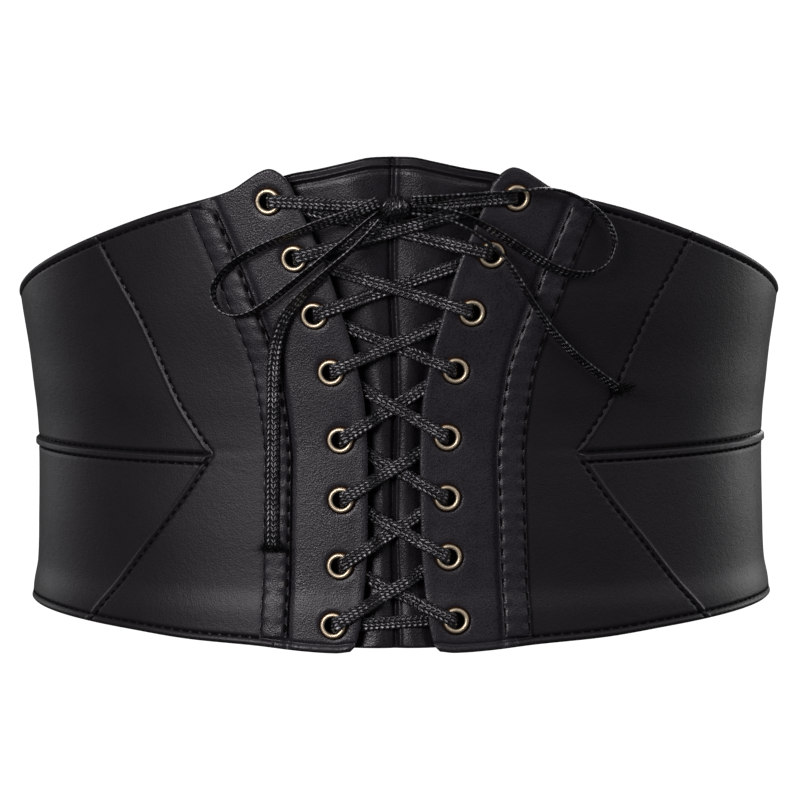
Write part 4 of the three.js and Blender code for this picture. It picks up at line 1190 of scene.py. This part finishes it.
def add_room(scene):
    """Even white light from all round."""
    room = bpy.data.worlds.new("white_room")
    room.use_nodes = True
    backdrop = room.node_tree.nodes["Background"]
    backdrop.inputs["Color"].default_value = (1, 1, 1, 1)
    backdrop.inputs["Strength"].default_value = settings("studio").room_light
    scene.world = room


class CORSETBELT_OT_stage(Operator):
    """Sets up the white floor, the soft lights and the camera at the photograph's angle"""

    bl_idname = "corset_belt.stage"
    bl_label = "Stage and Camera"

    def execute(self, context):
        add_camera(context.scene)
        add_floor()
        for name, (place, size) in LIGHTS.items():
            add_soft_light(context.scene, name, place, size)
        add_room(context.scene)
        context.scene.view_settings.view_transform = "Standard"
        return {"FINISHED"}


class CORSETBELT_OT_free_lace(Operator):
    """Makes the bow's loops and tails, each a free stretch of lace, and their frayed ends"""

    bl_idname = "corset_belt.free_lace"
    bl_label = "Loops and Tails"

    def execute(self, context):
        ends = {
            "bow_loop_left": (LOOP_LEFT, "object"),
            "bow_loop_right": (LOOP_RIGHT, "object"),
            "lace_tail_left": (TAIL_LEFT, "bare"),
            "lace_tail_right": (TAIL_RIGHT, "bare"),
        }
        for name, (route, far_end) in ends.items():
            points, across = route_stations(route)
            piece = ribbon_object(f"{name}_braid", points, across, polyester_braid_waxed)
            belongs(piece, "lace", name)
            if far_end == "bare":
                frayed_end(f"{name}_frayed_end", points, across, seed=len(route))
            settings("lace").width
        return {"FINISHED"}


class CORSETBELT_OT_lacing(Operator):
    """Makes the lace that crosses seven times through all the eyelets"""

    bl_idname = "corset_belt.lacing"
    bl_label = "Crossed Lacing"

    def execute(self, context):
        down = [part[::-1] for part in lace_strand("left", 1 * MM)]
        up = lace_strand("right", -0.3 * MM)
        points, across = (np.concatenate(part) for part in zip(down, bottom_bar(), up))
        points, across = lace_stations(points, across, 0.5 * MM)
        piece = ribbon_object("lacing_braid", points, across, polyester_braid_waxed)
        belongs(piece, "lace", "lacing")
        return {"FINISHED"}


class CORSETBELT_OT_bow_knot(Operator):
    """Makes the knot of the bow: turns of lace pulled tight over each other round a small core"""

    bl_idname = "corset_belt.bow_knot"
    bl_label = "Bow Knot"

    def execute(self, context):
        centre, out, along = place_at(KNOT_ARC, KNOT_RISE, KNOT_LIFT)
        # The core is an ellipsoid
        half_width, half_depth, half_height = KNOT_CORE
        rings, corners = 25, 32
        polar = np.linspace(0, np.pi, rings)[:, None]
        turn = ring_angles(corners)
        core = (
            centre
            + along * (half_width * np.cos(polar) + 0 * turn)[..., None]
            + out * (half_depth * np.sin(polar) * np.cos(turn))[..., None]
            + UP * (half_height * np.sin(polar) * np.sin(turn))[..., None]
        )
        faces = grid_faces(rings, corners, wrap_columns=True)
        round_core = np.linspace(0, 4 * settings("lace").width, corners + 1)
        uv = grid_uv(np.linspace(0, 7 * MM, rings), round_core)
        piece = new_object("bow_knot_core", core, faces[:, ::-1], polyester_braid_bare, uv[:, ::-1])
        belongs(piece, "lace", "bow_knot")
        sweep = np.radians(np.linspace(-160, 160, 64))[:, None]
        for name, (offset, slant, half_height, half_depth) in KNOT_TURNS.items():
            angle = math.radians(slant)
            rise = UP * math.cos(angle) + along * math.sin(angle)
            beside = along * math.cos(angle) - UP * math.sin(angle)
            line = centre + along * offset + out * half_depth * np.cos(sweep)
            line = line + rise * half_height * np.sin(sweep)
            across = np.tile(beside, (len(line), 1))
            belongs(ribbon_object(f"bow_knot_turn_{name}", line, across, polyester_braid_bare), "lace")
        return {"FINISHED"}


class CORSETBELT_OT_plackets(Operator):
    """Makes the two eyelet panels, with a round hole for each eyelet"""

    bl_idname = "corset_belt.plackets"
    bl_label = "Plackets"

    def execute(self, context):
        step, studs = settings("leather").mesh_step, settings("eyelets")
        hole = studs.barrel_radius + CLEARANCE
        halves = (slice(None, -1), slice(1, None))
        for side_name, side in SIDES.items():
            levels = blend(-1, 1, graded(150 * MM, step))[:, None]
            end = casing_line(levels) - SEAM_GAP / 2
            arc = blend(placket_edge(levels), end, graded(30 * MM, step))
            height = height_at(arc, levels)
            relief = soft_waves(arc, height, 0.12 * MM)
            kept = np.ones((arc.shape[0] - 1, arc.shape[1] - 1), bool)
            for index in range(EYELET_ROWS):
                middle, rise = eyelet_place(side_name, index)
                middle = abs(middle)
                away = np.hypot(arc - middle, height - rise)
                open_cell = sum(away[rows, columns] for rows in halves for columns in halves) / 4 < hole
                kept &= ~open_cell
                # The hole's rim, pulled on to its circle
                touched, closed = np.zeros((2, *arc.shape), bool)
                for rows in halves:
                    for columns in halves:
                        touched[rows, columns] |= open_cell
                        closed[rows, columns] |= ~open_cell
                scale = np.where(touched & closed, hole / np.maximum(away, SAME_PLACE), 1)
                arc = middle + (arc - middle) * scale
                height = rise + (height - rise) * scale
                # The leather is pinched in round the flange
                relief -= 0.45 * MM * ridge(away, studs.flange_radius, 0.8 * MM)
            below_top, above_bottom = hem_distances(arc, height)
            front = seam_distance(arc, levels, placket_edge)
            back = np.abs(end - arc)
            # A fold swells along the front edge, and the casing's seam draws the leather in
            relief += hem_relief(above_bottom) + 0.12 * MM * ridge(front, 1.8 * MM, 1.3 * MM)
            relief -= 0.7 * MM * ridge(back, CASING_WIDTH / 2, 1.3 * MM)
            edges = [below_top, above_bottom, front + EDGE_EASE, back + SEAM_EASE]
            looks = "pebbled_leather", faux_leather_pebbled
            add_wall(f"placket_{side_name}", *looks, side, arc, height, relief, edges, kept=kept)
        return {"FINISHED"}


class CORSETBELT_OT_casings(Operator):
    """Makes the two stitched boning casings"""

    bl_idname = "corset_belt.casings"
    bl_label = "Boning Casings"

    def execute(self, context):
        pitch = settings("stitching").casing_pitch
        wall, base = CASING_THICKNESS - CASING_SEWN_INSET, WALL + CLEARANCE
        for side_name, side in SIDES.items():
            offset = np.linspace(-0.5, 0.5, 45) * CASING_WIDTH
            levels = blend(-0.94, 0.965, graded(142 * MM, 0.5 * MM))[:, None]
            middle = casing_line(levels)
            arc = middle + offset
            height = height_at(middle, levels) + 0 * arc
            from_edge = CASING_WIDTH / 2 - np.abs(offset) + 0 * arc
            from_end = np.minimum(height - height[0, 0], height[-1, 0] - height)
            # A bulge between the two sewn lines, crumpled lengthwise, with a pucker at each stitch
            sewn = from_edge - CASING_SEWN_INSET
            swell, roundness, sewn_depth, crumple = CASING_BULGE[side_name]
            from_middle = offset / (CASING_WIDTH / 2 - CASING_SEWN_INSET)
            crown = np.clip(1 - from_middle**2, 0, 1) ** roundness
            relief = (swell + soft_waves(arc * 5, height * 3.6, swell / 2)) * crown
            relief += soft_waves(arc * 8, height * 4, crumple) * crown * smooth_step(levels, 0.5, 0.75)
            relief -= 0.35 * MM * ridge(sewn, 0, 0.4 * MM)
            relief -= sewn_depth * (1 - smooth_step(sewn, -0.5 * MM, 0))
            relief += gathers(height, sewn, pitch, 0.15 * MM)
            looks = "pebbled_leather", faux_leather_pebbled
            name, edges = f"bone_casing_{side_name}", [from_edge, from_end]
            add_wall(name, *looks, side, arc, height, relief, edges, wall, base, lined=False)
        return {"FINISHED"}


class CORSETBELT_OT_front_panels(Operator):
    """Makes the two panels between a boning casing and the V seam"""

    bl_idname = "corset_belt.front_panels"
    bl_label = "Front Panels"

    def execute(self, context):
        step, pitch = settings("leather").mesh_step, settings("stitching").seam_pitch
        for side_name, side in SIDES.items():
            levels = blend(-1, 1, graded(140 * MM, step))[:, None]
            start, end = casing_line(levels) + SEAM_GAP / 2, v_seam(levels) - SEAM_GAP / 2
            arc = blend(start, end, graded(34 * MM, step * 1.3))
            height = height_at(arc, levels)
            below_top, above_bottom = hem_distances(arc, height)
            v_side = seam_distance(arc, levels, v_seam) - SEAM_GAP / 2
            casing_side = np.abs(arc - start)
            relief = hem_relief(below_top) + hem_relief(above_bottom)
            relief += soft_waves(arc, height, SLACK) - 0.45 * MM * ridge(v_side, 0.2 * MM, 0.7 * MM)
            relief += gathers(height * 1.3, v_side, pitch, 0.14 * MM)
            relief -= 0.2 * MM * ridge(casing_side, CASING_WIDTH / 2, 1 * MM)
            # Two short creases pull from the V's point towards the casing
            reach = smooth_step(arc, 43 * MM, V_POINT_ARC - 2 * MM)
            relief -= 0.12 * MM * reach * ridge(height, 1 * MM, 1.8 * MM)
            relief -= 0.06 * MM * reach * ridge(height, -4 * MM, 2.4 * MM)
            seams = [np.maximum(v_side, 0) + SEAM_EASE, casing_side + SEAM_EASE]
            edges = [below_top, above_bottom, *seams]
            looks = "smooth_leather", faux_leather_calendered
            add_wall(f"front_panel_{side_name}", *looks, side, arc, height, relief, edges)
        return {"FINISHED"}


class CORSETBELT_OT_side_panels(Operator):
    """Makes the side panels above and below the waist seam, with the seam's felled band"""

    bl_idname = "corset_belt.side_panels"
    bl_label = "Side Panels"

    def execute(self, context):
        step, sewing = settings("leather").mesh_step * 1.8, settings("stitching")
        parts = (("upper", 1), ("lower", -1))
        for side_name, side, (part, sign) in ((*row, part) for row in SIDES.items() for part in parts):
            share = graded(55 * MM, step)[:, None]
            levels = sign * share
            end = BACK_SEAM_ARC - SEAM_GAP / 2
            arc = blend(v_seam(levels) + SEAM_GAP / 2, end, graded(160 * MM, step))
            hem = top_hem(arc) if sign > 0 else bottom_hem(arc)
            height = blend(sign * SEAM_GAP / 2, hem, share)
            below_top, above_bottom = hem_distances(arc, height)
            hem_side = below_top if sign > 0 else above_bottom
            v_side = np.maximum(seam_distance(arc, levels, v_seam) - SEAM_GAP / 2, 0)
            waist_side = np.maximum(np.abs(height) - SEAM_GAP / 2, 0)
            fold = 0.28 * MM * ridge(v_side, 0.9 * MM, 0.5 * MM)
            relief = hem_relief(hem_side) + fold + soft_waves(arc, height, SLACK)
            relief += gathers(height * 1.3, v_side, sewing.seam_pitch, 0.1 * MM)
            if sign > 0:
                relief -= 0.9 * MM * ridge(waist_side, 0, 0.7 * MM)
            else:
                band = FELL_THICKNESS * (1 - smooth_step(waist_side, FELL_WIDTH - 0.3 * MM, FELL_WIDTH))
                sunk = 0.6 * MM * ridge(waist_side, FELL_WIDTH + 0.25 * MM, 0.4 * MM)
                relief += (band - sunk) * smooth_step(v_side, 0, 1.5 * MM)
                relief += gathers(arc, waist_side - FELL_WIDTH, sewing.hem_pitch, 0.1 * MM)
            edges = [hem_side, v_side + SEAM_EASE, waist_side, np.abs(end - arc)]
            looks = "smooth_leather", faux_leather_calendered
            add_wall(f"{part}_side_panel_{side_name}", *looks, side, arc, height, relief, edges)
        return {"FINISHED"}


class CORSETBELT_OT_back_panel(Operator):
    """Makes the ribbed elastic at the back"""

    bl_idname = "corset_belt.back_panel"
    bl_label = "Elastic Back"

    def execute(self, context):
        step = settings("leather").mesh_step * 2.4
        start = BACK_SEAM_ARC + SEAM_GAP / 2
        end = 2 * HALF_GIRTH - start
        levels = blend(-1, 1, graded(100 * MM, step))[:, None]
        arc = blend(start, end, graded(2 * (HALF_GIRTH - start), step))
        height = height_at(arc, levels)
        arc = arc + 0 * height
        edges = [*hem_distances(arc, height), np.minimum(arc - start, end - arc)]
        relief = soft_waves(arc, height, 0.15 * MM)
        wall, base = BACK_WALL, (WALL - BACK_WALL) / 2
        looks = "elastic", elastic_ribbed
        add_wall("back_panel", *looks, 1, arc, height, relief, edges, wall, base, lined=False)
        return {"FINISHED"}


class CORSETBELT_OT_tongue(Operator):
    """Makes the padded tongue behind the lacing, with its middle seam and folded top edge"""

    bl_idname = "corset_belt.tongue"
    bl_label = "Tongue"

    def execute(self, context):
        half = np.concatenate([np.linspace(0, 1, 30) ** 1.3, np.linspace(1, 2, 26)[1:]])
        columns = np.concatenate([-half[:0:-1], half])
        levels = blend(-1, 1, graded(155 * MM, settings("leather").mesh_step * 1.2))[:, None]
        edge, side = placket_edge(levels), casing_line(levels) - CASING_WIDTH / 2
        share = np.abs(columns)
        away = np.where(share < 1, share * edge, blend(edge, side, share - 1))
        arc = np.sign(columns) * away
        fall = curve_through(TONGUE_TOP, away / (CASING_TOP_ARC - CASING_WIDTH / 2))
        top = blend(TONGUE_RISE, TONGUE_SHOULDER_RISE, fall)
        height = np.where(levels > 0, levels * top, levels * TONGUE_DROP)
        puff = TONGUE_PUFF * curve_through(TONGUE_SHAPE, np.minimum(away / edge, 1))
        rest = EYELET_INSET + settings("eyelets").flange_radius
        seat = blend(TONGUE_DEPTH, TONGUE_SEAT_GAP, smooth_step(away, edge + rest, side))
        face = np.where(away < edge, -TONGUE_DEPTH + puff, -seat)
        from_top = np.where(levels > 0, top - height, 1)
        between = smooth_step(-away / edge, -1.1, -0.6)
        # The middle seam is a deep groove, with a fold standing up along its right
        seam = 0.5 * MM * np.sin(height / (13 * MM)) - 0.3 * MM
        relief = 0.6 * MM * ridge(arc, seam + 1.5 * MM, 0.5 * MM) - 1.5 * MM * ridge(arc, seam, 0.6 * MM)
        relief -= 0.8 * MM * smooth_step(away / edge, 0.7, 1.1)
        # Each half puffs up between the seam and the placket, in pillows where no lace presses on it
        pillow = 1 + 0.7 * np.sin(height / (4.5 * MM) + np.sign(arc) + arc / (6 * MM))
        relief += 0.35 * MM * ridge(away / edge, 0.45, 0.25) * pillow
        relief += soft_waves(arc * 2.6, height * 1.9, 0.65 * MM) * between
        # The turned top edge rolls over a ridge into a valley, and wrinkles run down from it
        relief -= 1.1 * MM * (1 - smooth_step(from_top, 0.3 * MM, 2.2 * MM))
        relief += 0.6 * MM * ridge(from_top, 2.6 * MM, 0.45 * MM)
        relief -= 0.6 * MM * ridge(from_top, 3.9 * MM, 0.7 * MM)
        relief += soft_waves(arc * 1.3, height * 1.1, 0.45 * MM) * between
        wrinkles = np.sin(arc / (2.3 * MM) + height / (9 * MM)) * np.sin(arc / (5.1 * MM) + 1)
        relief += 0.3 * MM * wrinkles * np.exp(-from_top / (14 * MM)) * smooth_step(from_top, 3 * MM, 7 * MM)
        edges = [from_top, height + TONGUE_DROP, side - away]
        looks, walls = ("pebbled_leather", faux_leather_rubbed), (TONGUE_WALL, face - TONGUE_WALL)
        piece = add_wall("tongue", *looks, 1, arc, height, relief, edges, *walls, lined=False)
        return {"FINISHED"}


class CORSETBELT_OT_eyelets(Operator):
    """Makes the sixteen brass eyelets: a domed ring, a barrel and a curl turned from one profile"""

    bl_idname = "corset_belt.eyelets"
    bl_label = "Eyelets"

    def execute(self, context):
        radius, depth, wear = eyelet_profile()
        corners, nudge = 48, 1 * MM
        turn = ring_angles(corners)[:, None]
        faces = grid_faces(len(radius), corners, wrap_rows=True, wrap_columns=True)
        for side_name, index in ((side_name, i) for side_name in SIDES for i in range(EYELET_ROWS)):
            arc, height = eyelet_place(side_name, index)
            centre, _, along = place_at(arc, height, 0)
            low, high = (place_at(arc, height + rise, 0)[0] for rise in (-nudge, nudge))
            out = unit(np.cross(along, high - low))
            ring = along * np.cos(turn) + np.cross(out, along) * np.sin(turn)
            points = centre + radius[:, None, None] * ring + depth[:, None, None] * out
            name = f"eyelet_{side_name}_{index + 1}"
            piece = new_object(f"{name}_brass", points, faces, brass_antiqued)
            attribute = piece.data.attributes.new("wear", "FLOAT", "POINT")
            attribute.data.foreach_set("value", np.repeat(wear, corners).astype(np.float32))
            belongs(piece, "eyelet_brass", name)
        return {"FINISHED"}


class CORSETBELT_OT_stitching(Operator):
    """Sews the hems, the casings, the V seams, the waist seam and the seams to the elastic"""

    bl_idname = "corset_belt.stitching"
    bl_label = "Stitching"

    def execute(self, context):
        sewing = settings("stitching")
        hem_pitch = sewing.hem_pitch
        level = np.linspace(-1, 1, 400)
        end = BACK_SEAM_ARC - 1 * MM
        # Each line: its arcs, heights and lift, and 0 where it doesn't follow the leather's slack
        top_arc = np.linspace(CASING_TOP_ARC + CASING_WIDTH / 2 + 1 * MM, end, 500)
        hem_arc = np.linspace(CASING_HEM_ARC + CASING_WIDTH / 2, end, 500)
        sunk = WALL - 0.35 * sewing.groove_depth
        hems = [
            (top_arc, inside_hem(top_hem, top_arc, -sewing.hem_inset), sunk),
            (hem_arc, inside_hem(bottom_hem, hem_arc, sewing.hem_inset), sunk),
        ]
        casing_level = np.linspace(-0.93, 0.955, 400)
        middle = casing_line(casing_level)
        on_casing = height_at(middle, casing_level), WALL + CLEARANCE + CASING_THICKNESS - 0.95 * MM, 0
        offset = CASING_WIDTH / 2 - CASING_SEWN_INSET
        beside, height = v_seam(level) - 0.35 * MM, height_at(v_seam(level), level)
        seams = [(beside[x], height[x], WALL - 0.3 * MM) for x in (level > 0.03, level < -0.03)]
        waist_arc = np.linspace(V_POINT_ARC + 3 * MM, end, 300)
        # The elastic is sewn on with two rows beside the back seam
        back_arcs = (BACK_SEAM_ARC - 1.8 * MM, BACK_SEAM_ARC - 5 * MM)
        backs = [(arc, height_at(arc, 0.94 * level), WALL - 0.1 * MM) for arc in back_arcs]
        for side_name, side in SIDES.items():
            # Each row: name, lines, pitch, length of a stitch and share of the thread's width. Close
            # stitches fill the groove over the felled band: a black line, partly stitching and partly
            # painted shade of the groove.
            front_share = 2 if side < 0 else 1
            front, back = [(middle - offset, *on_casing)], [(middle + offset, *on_casing)]
            under_band = [(waist_arc, -FELL_WIDTH - 0.3 * MM, WALL - 0.25 * MM)]
            # The black line in the groove over the band is partly stitching and partly painted shade
            groove_shade_line = [(waist_arc, 0.25 * MM, WALL - 0.6 * MM)]
            rows = [
                ("hem_stitching_{}", hems, hem_pitch, LONG_STITCH, 0.8),
                ("casing_stitching_{}_front", front, sewing.casing_pitch, LONG_STITCH, front_share),
                ("casing_stitching_{}_back", back, sewing.casing_pitch, LONG_STITCH, 1),
                ("seam_stitching_{}", seams, sewing.seam_pitch, SHORT_STITCH, 1.6),
                ("waist_stitching_{}", under_band, hem_pitch, LONG_STITCH, 0.9),
                ("back_stitching_{}", backs, hem_pitch, LONG_STITCH, 0.8),
                ("waist_groove_{}", groove_shade_line, hem_pitch, hem_pitch * 0.96, 1.9),
            ]
            for name, lines, pitch, length, share in rows:
                sewn = [sewn_line(side, *line) for line in lines]
                stitches(name.format(side_name), sewn, pitch, length, sewing.thread_width * share)
        return {"FINISHED"}


class CORSETBELT_PT_build(Panel):
    """Lists the belt's settings and the steps that build it"""

    bl_idname = "CORSETBELT_PT_build"
    bl_label = "Corset Belt"
    bl_space_type = "VIEW_3D"
    bl_region_type = "UI"
    bl_category = "Corset Belt"

    def draw(self, context):
        for operator in OPERATORS:
            self.layout.operator(operator.bl_idname)
        for group, kind in GROUPS.items():
            box = self.layout.box()
            box.label(text=group.capitalize())
            for key in kind.__annotations__:
                box.prop(settings(group), key)


GROUPS = {
    "leather": CorsetBeltLeather,
    "stitching": CorsetBeltStitching,
    "eyelets": CorsetBeltEyelets,
    "lace": CorsetBeltLace,
    "studio": CorsetBeltStudio,
}
OPERATORS = (
    CORSETBELT_OT_stage,
    CORSETBELT_OT_free_lace,
    CORSETBELT_OT_bow_knot,
    CORSETBELT_OT_lacing,
    CORSETBELT_OT_plackets,
    CORSETBELT_OT_casings,
    CORSETBELT_OT_front_panels,
    CORSETBELT_OT_side_panels,
    CORSETBELT_OT_back_panel,
    CORSETBELT_OT_tongue,
    CORSETBELT_OT_eyelets,
    CORSETBELT_OT_stitching,
)
CLASSES = (*GROUPS.values(), *OPERATORS, CORSETBELT_PT_build)


def register():
    """Registers the classes and hangs the settings on the scene."""
    for kind in CLASSES:
        bpy.utils.register_class(kind)
    for group, kind in GROUPS.items():
        setattr(bpy.types.Scene, f"corset_belt_{group}", PointerProperty(type=kind))


def unregister():
    """Takes the settings and the classes away again."""
    for group in GROUPS:
        delattr(bpy.types.Scene, f"corset_belt_{group}")
    for kind in reversed(CLASSES):
        bpy.utils.unregister_class(kind)


def main():
    register()
    for operator in OPERATORS:
        area, name = operator.bl_idname.split(".")
        getattr(getattr(bpy.ops, area), name)()


if __name__ == "__main__":
    main()
